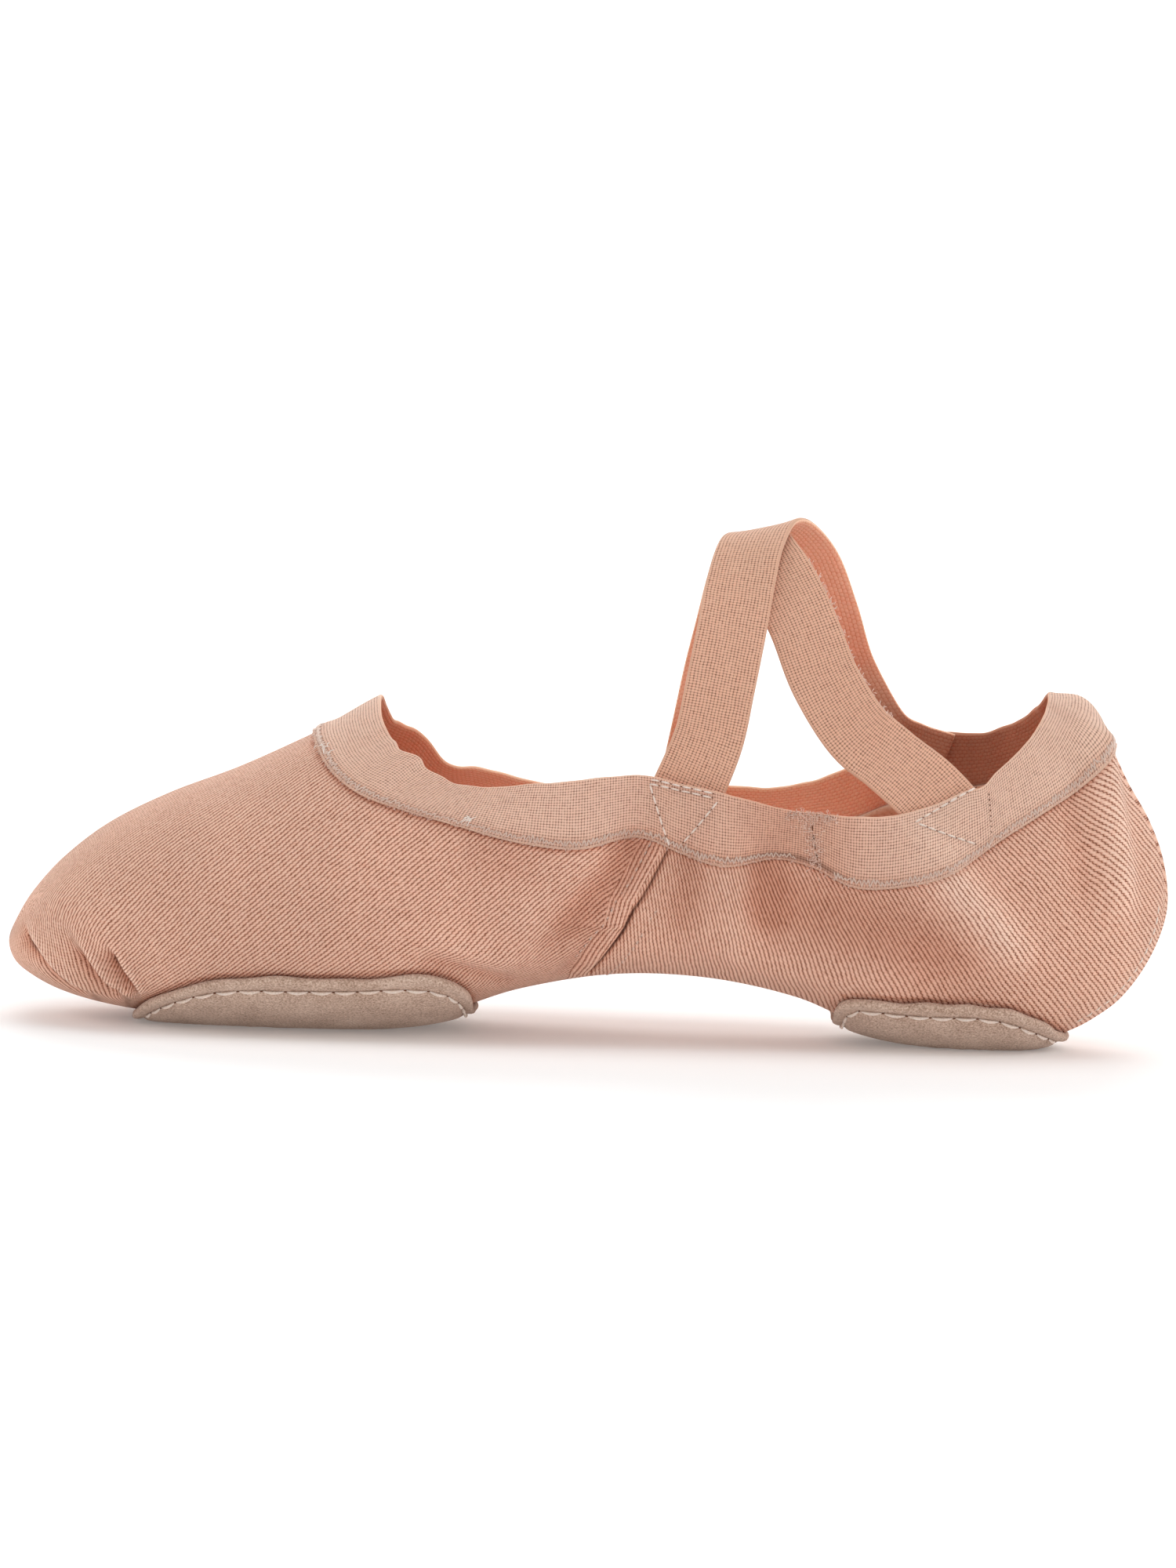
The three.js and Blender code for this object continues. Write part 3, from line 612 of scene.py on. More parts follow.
canvas_strokes, pleat_lines = [], []
for side, rows in ((NEAR, NEAR_STROKES), (FAR, FAR_STROKES)):
    for height, width, path in rows:
        canvas_strokes.append((height, width, fading_line(path, side, width)))
    for *sizes, path in PLEATS:
        pleat_lines.append((*sizes, last_point(*on_side(path, side))))
seam_lines = [last_point(*on_side(ARCH_SEAM, side)) for side in (NEAR, FAR)]
print(len(canvas_strokes), "stroke lines and", len(pleat_lines), "pleat lines on both sides")

# %% The patches in plan
# Columns: x of the middle, reach to the toe and the heel, half width, power of front and rear end, and
# how much narrower the suede is drawn in at its rear corners
PATCHES = {
    "forefoot": (-55, 36.8, 32.3, 34.2, 3.2, 6, 0.045),
    "heel": (73, 21.8, 25.4, 22.6, 9, 2.3, 0),
}


def patch_outline(patch, turn, inset):
    """The rounded outline at a turn, as a radius: the power sum of its two reaches."""
    _, front, rear, half_width, front_power, rear_power, taper = patch
    along, across = np.cos(turn), np.sin(turn)
    half_width = half_width * (1 - taper * np.clip(along, 0, 1))
    power = np.where(along > 0, rear_power, front_power)
    reach = np.where(along > 0, rear, front) - inset
    sides = np.abs(along / reach) ** power + np.abs(across / (half_width - inset)) ** power
    return sides ** (-1 / power)


def under_foot(x, y, lift):
    """The point under the foot at a place in plan, off the last, never through the floor. Inside the
    foot, where lift is negative, it is set straight up, so that a pad can't fold over itself where
    the flat of the sole ends."""
    s = row_at(x)
    girth = np.arcsin(np.clip(y / section(s)[4], -1, 1))
    lift = np.asarray(lift, dtype=float)[..., None]
    outside = off_last(s, girth, lift[..., 0])
    outside[..., 2:] = np.maximum(outside[..., 2:], CANVAS_FLOOR - lift)
    inside = last_point(s, girth) - lift * (0, 0, 1)
    return np.where(lift < 0, inside, outside)


def patch_point(patch, turn, inset, lift):
    """A point of a patch, inset from its edge."""
    radius = patch_outline(patch, turn, inset)
    return under_foot(patch[0] + radius * np.cos(turn), radius * np.sin(turn), lift)


once_round = np.linspace(0, 2 * np.pi, 121)
patch_edges = [patch_point(patch, once_round, 0, 0.0) for patch in PATCHES.values()]
print("patch edges of", len(once_round), "points")

# %% Relief of the canvas
# All in mm: how deep and wide a groove is, and how far beyond it the edge of the folded cloth lies
SEAM_GROOVE, SEAM_GROOVE_WIDTH = 0.7, 0.5
TOPSTITCH_FROM_SEAM, TOPSTITCH_SINK, TOPSTITCH_WIDTH, ALLOWANCE_EDGE = 3.8, 0.3, 0.6, 0.35
FRONT_ALLOWANCE, REAR_ALLOWANCE, BACK_ALLOWANCE, BACK_SEAM_FROM = 0.6, 0.25, 0.3, 92
PLEAT_SLOPE, PLEAT_STEP = 2.8, 0.8
LIP_FROM, LIP_WIDTH, LIP_SHARE = 1.8, 1.3, 0.3
PLEAT_FADE_OUT = 0.12
PATCH_MARGIN, PATCH_FREE, PATCH_REACH_UP = 0.5, 2.5, 16
seam_x, seam_z = np.array(ARCH_SEAM)[::-1].T


def seam_relief(distance, allowance):
    """A pressed seam: a narrow groove, a raised allowance beside it, sunk again by the topstitch."""
    beyond = distance - TOPSTITCH_FROM_SEAM
    raised = allowance / (1 + np.exp(beyond / ALLOWANCE_EDGE))
    sunk = SEAM_GROOVE * bell(distance, SEAM_GROOVE_WIDTH) + TOPSTITCH_SINK * bell(beyond, TOPSTITCH_WIDTH)
    return raised - sunk


def pleat_sides(points, soft, line):
    """Distance to a pleat's sharp edge, whether a point lies on the cloth that laps over it, and how
    strong the pleat is there: it begins softly and ends under the patch."""
    distance, before = along_line(points, line)
    beyond = points[..., 0] > np.interp(points[..., 2], line[::-1, 2], line[::-1, 0])
    strength = np.clip(np.minimum(before / soft, (1 - before) / PLEAT_FADE_OUT), 0, 1)
    return distance, beyond, strength * strength * (3 - 2 * strength)


def pleat_lip(distance, beyond):
    """The raised lip of the cloth that laps over a pleat: a bell curve beyond its edge."""
    return bell(distance - LIP_FROM, LIP_WIDTH) * beyond


def stroke_relief(points):
    """The sum of the strokes' bell curves, and of the pleats: cloth sinks slowly from the toe and rises
    at once in the lip of the next fold. No ridge rises where a suede patch lies over the canvas."""
    relief = np.zeros(points.shape[:-1])
    for height, width, line in canvas_strokes:
        relief += height * bell(stroke_distance(points, line), width)
    for depth, _, soft, line in pleat_lines:
        distance, beyond, strength = pleat_sides(points, soft, line)
        trough = bell(distance, np.where(beyond, PLEAT_STEP, PLEAT_SLOPE))
        relief += depth * strength * (LIP_SHARE * pleat_lip(distance, beyond) - trough)
    for patch in PATCHES.values():
        dx, y = points[..., 0] - patch[0], points[..., 1]
        beyond = np.hypot(dx, y) - patch_outline(patch, np.arctan2(y, dx), 0)
        free = np.maximum(beyond - PATCH_MARGIN, points[..., 2] - PATCH_REACH_UP)
        free = np.clip(free / PATCH_FREE, 0, 1)
        relief = np.where(relief > 0, relief * free, relief)
    return relief


def seam_distances(points):
    """Distance to the arch seam of either side, and to the back seam down the middle of the heel."""
    arch = np.minimum(*(stroke_distance(points, line) for line in seam_lines))
    return arch, np.where(points[..., 0] > BACK_SEAM_FROM, np.abs(points[..., 1]), np.inf)


def canvas_relief(points):
    """How far the canvas stands off the last: its folds and its pressed seams. The forepart laps
    over the quarter at the arch, so it stands higher there."""
    arch, back = seam_distances(points)
    in_front = points[..., 0] < np.interp(points[..., 2], seam_z, seam_x)
    arch_seam = seam_relief(arch, np.where(in_front, FRONT_ALLOWANCE, REAR_ALLOWANCE))
    return stroke_relief(points) + arch_seam + seam_relief(back, BACK_ALLOWANCE)


def canvas_point(s, girth, lift=0.0):
    """A point on the creased canvas, and lift above it."""
    return off_last(s, girth, canvas_relief(last_point(s, girth)) + lift)


# %% Painted shade in the folds
# Painted shade in folds, in seam grooves and along the edges of patches and collar, and painted highlight on
# the lips of pleats
DARKEST_DEPTH, DARKEST_BROAD = 5.2, 0.5
PLEAT_SHADE_STEP, PLEAT_SHADE_SLOPE, LIP_HIGHLIGHT = 0.5, 2.0, 0.5
ARCH_SHADE, BACK_SHADE, EDGE_SHADE, LINE_SHADE_WIDTH = 1.0, 0.25, 0.7, 0.55


def canvas_painted_shade(points):
    """How much painted shade a point gets by how deep it lies in a fold: broad hollows reach 0.5, and pleats,
    seam grooves and lines along the patch edges and the collar, where no light gets in, reach 1. Ridges and
    the lips of pleats are negative, for a painted highlight."""
    broad, deep = np.zeros(points.shape[:-1]), np.zeros(points.shape[:-1])
    for height, width, line in canvas_strokes:
        broad -= height / DARKEST_DEPTH * bell(stroke_distance(points, line), width)
    for _, shade, soft, line in pleat_lines:
        distance, beyond, strength = pleat_sides(points, soft, line)
        shaded = bell(distance, np.where(beyond, PLEAT_SHADE_STEP, PLEAT_SHADE_SLOPE))
        deep = np.maximum(deep, shade * strength * shaded)
        broad -= LIP_HIGHLIGHT * strength * pleat_lip(distance, beyond)
    lines = list(zip((ARCH_SHADE, BACK_SHADE), seam_distances(points)))
    lines += [(EDGE_SHADE, stroke_distance(points, line)) for line in patch_edges + collar_lines]
    for shade, distance in lines:
        deep = np.maximum(deep, shade * bell(distance, LINE_SHADE_WIDTH))
    deep = np.maximum(deep, np.clip(broad, 0, DARKEST_BROAD))
    return np.clip(np.minimum(broad, 0) + deep, -1, 1)


# %% [markdown]
# ## The canvas upper
# The upper is one wall round the whole foot. Its grid has a station for every cross-section and
# runs round the girth from one top edge to the other. Near the arch the stations lean with the
# seam, so that the seam is a line of the grid, and the two panels can have ribs of their own.

# %% The collar's two edges
AT_END = 1e-6


def collar_edges(t, side):
    """Row number and girth angle of the elastic's lower edge and of its top edge, at collar row t."""
    seam_x, seam_z, top_x, top_z, lift = np.moveaxis(table_at(COLLAR_ROWS, t, turned=False), -1, 0)
    lift = np.where(side > 0, lift, 0)
    seam_s, top_s = row_at(seam_x), row_at(top_x)
    on_crown = (t < AT_END) | (t > COLLAR_END - AT_END)
    seam = np.where(on_crown, np.pi, np.abs(girth_at(seam_s, seam_z + lift, 1)))
    top = np.where(on_crown, np.pi, np.abs(girth_at(top_s, top_z + lift, 1)))
    return seam_s, seam, top_s, top


def across_collar(t, side, share):
    """Row number and girth angle some share of the way across the elastic from its lower edge."""
    seam_s, seam, top_s, top = collar_edges(t, side)
    angle = np.minimum(seam + (top - seam) * share, np.pi)
    return seam_s + (top_s - seam_s) * share, side * angle


def even_collar_rows(count):
    """Collar rows that lie evenly along the sewn edge."""
    t = np.linspace(0, COLLAR_END, 4000)
    s, seam, _, _ = collar_edges(t, NEAR)
    length = length_along(last_point(s, -seam))
    return np.interp(np.linspace(0, length[-1], count + 1), length, t)


collar_lines = []
for side in (NEAR, FAR):
    s, seam, _, _ = collar_edges(even_collar_rows(200), side)
    collar_lines.append(last_point(s, side * seam))
print("collar lines of", len(collar_lines[0]), "points")

# %% Stations and girth
TOE_STATIONS, COLLAR_STATIONS, HEEL_STATIONS = 110, 150, 36
LOWER_STEPS, UPPER_STEPS = 45, 45
SEAM_TOP_X = ARCH_SEAM[0][0]
SEAM_SPREAD = 32
# Columns: share of the girth from the sole to the top edge, how far the seam leans to the toe
SEAM_LEAN = np.array([(0.0, -16.8), (0.35, -14.7), (0.58, -11.8), (0.79, -8.8),
                      (0.87, -6.8), (0.91, -4.4), (1.0, 0.0)])

seam_t = np.interp(SEAM_TOP_X, COLLAR_ROWS[:, 0], np.arange(COLLAR_END + 1))
STRIP_ROWS = 0.5
half_fine = np.array([0.03, 0.06, 0.12, 0.25, STRIP_ROWS])
fine = np.concatenate([-half_fine[::-1], [0], half_fine])
station_t = np.unique(np.concatenate([even_collar_rows(COLLAR_STATIONS), seam_t + fine]))
lap_share = COLLAR_LAP / ELASTIC_WIDTH
open_rows, near_end = across_collar(station_t, NEAR, lap_share)
_, far_end = across_collar(station_t, FAR, lap_share)
near_end = -near_end
# Most stations of the toe lie where it is pleated
toe_rows = np.interp(np.linspace(0, 1, TOE_STATIONS, endpoint=False), [0, 0.13, 0.87, 1],
                     [0, 2, 6, open_rows[0]])
heel_rows = np.linspace(open_rows[-1], TIP_ROW, HEEL_STATIONS + 1)[1:]
station_rows = np.concatenate([toe_rows, open_rows, heel_rows])
closed_toe, closed_heel = np.full(TOE_STATIONS, np.pi), np.full(HEEL_STATIONS, np.pi)
near_end = np.concatenate([closed_toe, near_end, closed_heel])
far_end = np.concatenate([closed_toe, far_end, closed_heel])
seam_station = TOE_STATIONS + int(np.argmin(np.abs(station_t - seam_t)))
strip_station = TOE_STATIONS + int(np.argmin(np.abs(station_t - seam_t + STRIP_ROWS)))


def girth_angles(end):
    """Angles from the sole up to the end of each wall: even to the widest level, then shared out."""
    level = np.pi / 2
    lower = np.broadcast_to(np.linspace(0, level, LOWER_STEPS, endpoint=False), (len(end), LOWER_STEPS))
    upper = level + (end[:, None] - level) * np.linspace(0, 1, UPPER_STEPS + 1)
    return np.concatenate([lower, upper], axis=1)


near_angles, far_angles = girth_angles(near_end), girth_angles(far_end)
girth = np.concatenate([-near_angles[:, :0:-1], far_angles], axis=1)
near_share, far_share = near_angles / near_end[:, None], far_angles / far_end[:, None]
share = np.concatenate([near_share[:, :0:-1], far_share], axis=1)
station_x = section(station_rows)[0][:, None]
lean = np.interp(share, SEAM_LEAN[:, 0], SEAM_LEAN[:, 1])
lean = lean * bell(station_x - SEAM_TOP_X, SEAM_SPREAD)
rows = station_rows[:, None] + row_at(station_x + lean) - row_at(station_x)
print("canvas grid", girth.shape, "seam at station", seam_station)

# %% [markdown]
# The forepart is one piece of twill wrapped over the toes, so its ribs run on over the vamp. Its
# cloth coordinates are the length along the plan outline and the length round the girth, turned
# by the angle of the ribs. The heel quarter was cut on the other bias and stretched, so its ribs
# fan out from a point above the arch.

# %% Cloth coordinates of the two panels
RIB_ANGLE = np.radians(42)
TOE_GATHER, TOE_GATHER_LENGTH = 12, 7
RIB_TURNS = np.radians([22, 34, 32])
# Girth angle where the turned ribs end and how slowly, then mm over which the turn is spread in a
# pleat and for each mm above it, and how far a pleat's line runs on above its upper end
TURN_END, TURN_FADE, TURN_SPREAD, SPREAD_ABOVE, RUN_ON = 2.7, 0.8, 0.3, 0.5, 5
STEEPEST, FAR_AWAY = 40, 1000
FAN_CENTRE = (-4.0, 131.0)
FAN_RIBS = 150
HEEL_TURN = 85

base = last_point(rows, girth)
relief = canvas_relief(base)
outer = off_last(rows, girth, relief)
inner = off_last(rows, girth, relief - CANVAS_WALL)
# The last station is the pole at the back of the heel
for wall in (outer, inner):
    wall[-1] = wall[-1].mean(axis=0)


def plan_length(x):
    """Length along the plan outline of the last, from the toe."""
    half = section(ROW_SAMPLES)[4]
    steps = np.hypot(np.diff(X_SAMPLES), np.diff(half))
    return np.interp(x, X_SAMPLES, np.concatenate([[0], np.cumsum(steps)]))


def turned_by(cloth, angle):
    """Lengths along and across the cloth, turned by an angle."""
    cosine, sine = np.cos(angle), np.sin(angle)
    return cloth @ np.array([(cosine, -sine), (sine, cosine)])


def turned_at_pleats(cloth, points, girth):
    """Cloth coordinates turned on the toe's side of each near pleat, about the pleat's upper end. In
    the pleat the turn is sudden, for a fold hides it, and above the pleat it is gradual."""
    x, z = points[..., 0], points[..., 2]
    near = np.where(girth < 0, np.clip((TURN_END + girth) / TURN_FADE, 0, 1), 0)
    for (*_, path), turn in list(zip(PLEATS, RIB_TURNS))[::-1]:
        path = np.array(path)
        top = path[0]
        from_top = np.hypot(x - top[0], z - top[1]) + np.where(girth < 0, 0, FAR_AWAY)
        pivot = cloth.reshape(-1, 2)[np.argmin(from_top)]
        upwards = np.concatenate([path[::-1], [top + RUN_ON * (top - path[1])]])
        soft = TURN_SPREAD + SPREAD_ABOVE * np.clip(z - top[1], 0, None)
        gone_by = (x - np.interp(z, upwards[:, 1], upwards[:, 0])) / soft
        share = near / (1 + np.exp(np.clip(gone_by, -STEEPEST, STEEPEST)))
        cloth = cloth + share[..., None] * (pivot + turned_by(cloth - pivot, turn) - cloth)
    return cloth


def forepart_weave(points, girth, s):
    """Along and across the ribs: length along the plan and round the girth, turned by the rib angle.
    Round the girth it is counted from the near widest level, over the crown, by Ramanujan's
    formula for a quarter of an ellipse. At the toe the cloth is gathered, which turns the ribs upright."""
    _, _, crown, wide, half = section(s)
    rise = np.maximum(crown - wide, 1e-3)
    quarter = np.pi / 4 * (3 * (half + rise) - np.sqrt((3 * half + rise) * (half + 3 * rise)))
    length = length_along(points, axis=1)
    round_near = length[:, UPPER_STEPS, None] - length
    round_far = 2 * quarter - (length - length[:, -1 - UPPER_STEPS, None])
    round_girth = np.where(girth < 0, round_near, round_far)
    x = points[..., 0]
    along = plan_length(x) - TOE_GATHER * np.exp(-(x - X_SAMPLES[0]) / TOE_GATHER_LENGTH)
    cloth = turned_at_pleats(np.stack([along, round_girth], axis=-1), points, girth)
    return turned_by(cloth, RIB_ANGLE)


def quarter_weave(points):
    """Along and across fanned ribs: distance from the fan's centre, and ribs counted by angle. Round
    the back of the heel the cloth is longer than it looks from the side, by the plan outline."""
    x = points[..., 0]
    hidden = plan_length(x) - plan_length(HEEL_TURN) - (x - HEEL_TURN)
    dx = x + np.where(x > HEEL_TURN, hidden, 0) - FAN_CENTRE[0]
    dz = FAN_CENTRE[1] - points[..., 2]
    return np.stack([np.hypot(dx, dz), np.arctan2(dz, dx) * FAN_RIBS * RIB_PITCH], axis=-1)


# %% Build the upper
LINING_STEP = 3


def strip_weave(points):
    """Ribs along the arch seam, where the forepart's edge is turned under: round the girth, and
    the distance from the seam's own station."""
    from_seam = np.linalg.norm(points - points[seam_station], axis=-1)
    return np.stack([length_along(points, axis=1), from_seam], axis=-1)


stations, columns = girth.shape
faces = grid_faces(stations, columns)
station_of_face = np.repeat(np.arange(stations - 1), columns - 1)[:, None, None]
weave_fore, weave_rear, weave_strip = (
    weave.reshape(-1, 2)[faces]
    for weave in (forepart_weave(base, girth, rows), quarter_weave(base), strip_weave(base))
)
outer_weave = np.where(station_of_face < seam_station, weave_fore, weave_rear)
in_strip = (station_of_face >= strip_station) & (station_of_face < seam_station)
outer_weave = np.where(in_strip, weave_strip, outer_weave)
# The lining is a coarser grid with the same stations and every third column
lining_columns = columns // LINING_STEP + 1
inner_faces = grid_faces(stations, lining_columns, start=stations * columns, flip=True)
first, final = TOE_STATIONS, TOE_STATIONS + len(station_t) - 1
outer_index = np.arange(stations * columns).reshape(stations, columns)
inner_index = stations * columns + np.arange(stations * lining_columns).reshape(stations, lining_columns)
rim = []
for column, flip in ((0, False), (-1, True)):
    edge, under = outer_index[first:final + 1, column], inner_index[first:final + 1, column]
    quads = np.stack([edge[:-1], edge[1:], under[1:], under[:-1]], axis=-1)
    rim.append(quads[:, ::-1] if flip else quads)
all_faces = np.concatenate([faces, inner_faces, *rim])
plain = np.zeros((len(all_faces) - len(faces), 4, 2))
inner_points = inner[:, ::LINING_STEP].reshape(-1, 3)
upper = add_piece(
    "canvas_upper",
    np.concatenate([outer.reshape(-1, 3), inner_points]),
    all_faces,
    [canvas, lining],
    weave=np.concatenate([outer_weave, plain]),
    face_material=np.concatenate([np.zeros(len(faces)), np.ones(len(plain))]),
    hollow=np.concatenate([canvas_painted_shade(base).ravel(), np.zeros(len(inner_points))]),
)
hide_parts("upper")

# %% [markdown]
# ## The elastic collar
# The collar is a ribbon that follows the canvas edge. A ribbon is a profile carried round a
# loop: here the profile is a flat bar with round edges, thinner along the lower edge where the
# overlock stitch pulls it down. It folds with the canvas, and ripples a little as elastic does.

# %% Collar ribbon
COLLAR_COLUMNS, WEAVE_SHARE = 300, 0.4
# How much thinner the sewn edge is and how far it is pulled down, both with their widths in mm
EDGE_TAPER, TAPER_WIDTH, EDGE_SINK, SINK_WIDTH = 0.4, 1.6, 0.35, 2
# How far the throat and the heel are pulled down, at which x and over what spread
THROAT_PULL, THROAT_X, THROAT_SPREAD = 1.1, -55, 10
HEEL_PULL, HEEL_X, HEEL_SPREAD = 1.6, 114, 7
FOLDS_REACH = 1.25
# Columns: x, how far the near top edge leans out in mm, how much painted shade darkens the ribbon in a hollow
COLLAR_LEAN = np.array([
    (-60, 0, 0.1), (-20, 0, 0.03), (4, 0.2, 0.05), (14, 1.2, 0.26), (26, 1.2, 0.26), (38, 1.6, 0.46),
    (48, 1.4, 0.44), (56, 0.2, 0.15), (66, -0.8, 0), (84, -0.7, 0), (104, 0, 0),
])
# Painted shade on the inside of the far wall: little between the straps, where light comes through, and most
# in the heel, which is dark
INSIDE_PAINTED_SHADE = np.array([
    (-45, 0.58), (-36, 0.45), (-20, 0.2), (20, 0.0), (56, 0.0), (64, 0.62), (78, 0.73), (92, 0.62),
])
# How dark the painted shade along the sewn edge is, at which place across and how widely
SEWN_SHADE, SEWN_PLACE, SEWN_WIDTH = 0.35, 1.4, 0.9
JOINT_X, JOINT_STEP, JOINT_EDGE = (41.0, 49.0), 0.45, 0.25
# Columns: speed along the collar rows, share, phase on the near side and on the far side
RIPPLES = [(2.6, 1.0, 0.0, 1.7), (5.3, 0.7, 1.1, 2.8), (9.7, 0.4, 0.0, 0.0)]
RIPPLE_HEIGHT, RIPPLE_POWER = 0.3, 1.5
# Share of the width, then in mm pitch (of the scallops), middle and spread
SCALLOPS, SCALLOP_PITCH, SCALLOP_X, SCALLOP_SPREAD = 0.05, 5.2, -36, 6
NOTCH, NOTCH_X, NOTCH_SPREAD = 0.1, 78, 2.2


def collar_loop(count):
    """Collar rows and sides once round: along the near side to the heel and back on the far side."""
    t = even_collar_rows(count)
    return np.concatenate([t, t[-2::-1]]), np.repeat([NEAR, FAR], [count + 1, count])


def collar_ripple(t, across, side):
    """Gathers: three slow sines that grow towards the free top edge."""
    waves = 0
    for speed, share, near, far in RIPPLES:
        waves = waves + share * np.sin(speed * t + np.where(side > 0, far, near))
    ends = np.clip(np.minimum(t, COLLAR_END - t) / 2, 0, 1)
    return RIPPLE_HEIGHT * waves * np.clip(across, 0, 1) ** RIPPLE_POWER * ends


def collar_joint(t, side):
    """The ribbon's two ends overlap on the near side: a step up and a step down along the collar."""
    x = np.interp(t, np.arange(COLLAR_END + 1), COLLAR_ROWS[:, 0])
    start, end = (1 / (1 + np.exp((edge - x) / JOINT_EDGE)) for edge in JOINT_X)
    return np.where(side < 0, JOINT_STEP * (start - end), 0)


def collar_fold(points, across):
    """The canvas folds on under the ribbon: in full at the sewn edge, and less towards the top. The
    near ribbon also leans out or in. Its sewn edge is pulled down on the canvas, and so is all of
    it over the throat and round the heel."""
    x, share = points[..., 0], np.clip(across, 0, 1)
    lean = np.where(points[..., 1] < 0, np.interp(x, COLLAR_LEAN[:, 0], COLLAR_LEAN[:, 1]), 0)
    sunk = EDGE_SINK * bell(across * ELASTIC_WIDTH, SINK_WIDTH)
    sunk = sunk + THROAT_PULL * bell(x - THROAT_X, THROAT_SPREAD) * np.clip(3 * across, 0, 1)
    sunk = sunk + HEEL_PULL * bell(x - HEEL_X, HEEL_SPREAD) * np.sin(np.pi * share)
    return stroke_relief(points) * np.clip(FOLDS_REACH - across, 0, 1) + lean * share - sunk


def collar_face_height(across):
    """Height of the outer face off the last. It thins out at the sewn edge, where it is pulled down."""
    return COLLAR_GAP + ELASTIC_WALL - EDGE_TAPER * bell(across * ELASTIC_WIDTH, TAPER_WIDTH)


def top_edge(t, side):
    """What share of its full width the ribbon has: scalloped at the throat and notched behind the strap."""
    x = np.interp(t, np.arange(COLLAR_END + 1), COLLAR_ROWS[:, 2])
    scallops = SCALLOPS * np.sin(x * 2 * np.pi / SCALLOP_PITCH) * bell(x - SCALLOP_X, SCALLOP_SPREAD)
    return np.where(side < 0, 1 + scallops - NOTCH * bell(x - NOTCH_X, NOTCH_SPREAD), 1.0)


def collar_point(t, side, across, lift):
    """A point on the ribbon: a share of the way across from canvas edge to top edge, off the last."""
    s, girth = across_collar(t, side, across * top_edge(t, side))
    fold = collar_fold(last_point(s, girth), across)
    return off_last(s, girth, lift + fold + collar_ripple(t, across, side))


def bar_profile(width, low, high, edge_steps=5, face_steps=18):
    """A flat bar with half-round edges, as places across and heights, from the middle of its back."""
    radius = (high - low) / 2
    middle = (high + low) / 2
    turn = np.linspace(-np.pi / 2, np.pi / 2, edge_steps)
    face = np.linspace(radius, width - radius, face_steps)
    across = np.concatenate([
        face, width - radius + radius * np.cos(turn), face[::-1], radius - radius * np.cos(turn),
    ])
    height = np.concatenate([
        np.full(face_steps, low), middle + radius * np.sin(turn),
        np.full(face_steps, high), middle - radius * np.sin(turn),
    ])
    return across, height


def build_collar():
    """The ribbon's grid: the profile once across, carried along the collar loop."""
    loop_t, loop_side = collar_loop(COLLAR_COLUMNS)
    across, height = bar_profile(ELASTIC_WIDTH, COLLAR_GAP, COLLAR_GAP + ELASTIC_WALL)
    outside = height > COLLAR_GAP + ELASTIC_WALL / 2
    taper = collar_face_height(across / ELASTIC_WIDTH) - COLLAR_GAP - ELASTIC_WALL
    height = height + taper * outside
    lapped = height[None] + collar_joint(loop_t, loop_side)[:, None] * outside
    points = collar_point(loop_t[:, None], loop_side[:, None], across[None] / ELASTIC_WIDTH, lapped)
    points[-1] = points[0]
    points = np.concatenate([points, points[:, :1]], axis=1)
    length = length_along(collar_point(loop_t, loop_side, WEAVE_SHARE, COLLAR_GAP))
    place, is_back = np.append(across, across[0]), np.append(~outside, ~outside[0])
    weave = np.stack(np.broadcast_arrays(length[:, None], place[None]), axis=-1)
    faces = grid_faces(*points.shape[:2])
    # Painted shade: on the near face in hollows and along the sewn edge, and on the inside of the far wall
    x = points[..., 0]
    near = np.interp(x, COLLAR_LEAN[:, 0], COLLAR_LEAN[:, 2]) * (points[..., 1] < 0)
    face = near + SEWN_SHADE * bell(place - SEWN_PLACE, SEWN_WIDTH)
    hollow = np.where(is_back, np.interp(x, INSIDE_PAINTED_SHADE[:, 0], INSIDE_PAINTED_SHADE[:, 1]), face)
    back = np.tile(~outside, len(loop_t) - 1)
    return points, faces, weave.reshape(-1, 2)[faces], back, hollow.ravel()


collar_points, collar_faces, collar_weave, on_back, collar_painted_shade = build_collar()
collar = add_piece("collar_elastic_ribbon", collar_points, collar_faces,
                   [collar_face, elastic_back], collar_weave, on_back, collar_painted_shade)
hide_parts("collar_elastic")

# %% [markdown]
# ## The crossed straps
# Both straps lie on one hoop over the instep. Each has a middle line through a few rows, sewn to
# the inside of the collar at both ends, and an outward direction that turns smoothly from collar
# to hoop to collar. The bar profile is carried along that line.

# %% Strap tables
HOOP_X, HOOP_FOOT, HOOP_RISE, HOOP_HALF_WIDTH, HOOP_REARWARD = 33, 62, 42, 23, 0.24
STRAP_SPACING = ELASTIC_WALL + 3 * GAP
# How much wider a strap is where it is sewn to the near collar, and for how many rows
NEAR_SPREAD, SPREAD_ROWS = 0.1, 2
EDGE_WAVE, WAVE_SPEED, WAVE_TWIST = 0.22, 2.9, 2
# Painted shade on the straps' backs: height below which the inside shades them, shade in open air, and how
# much darker they get below a height at the rear
SHADE_TOP, SHADE_FADE, OPEN_AIR = 68, 6, 0.34
LOW_SHADE, LOW_TOP, LOW_FADE, REAR_FROM = 0.35, 88, 20, 50
SEWN_DEPTH = ELASTIC_WALL / 2 + GAP

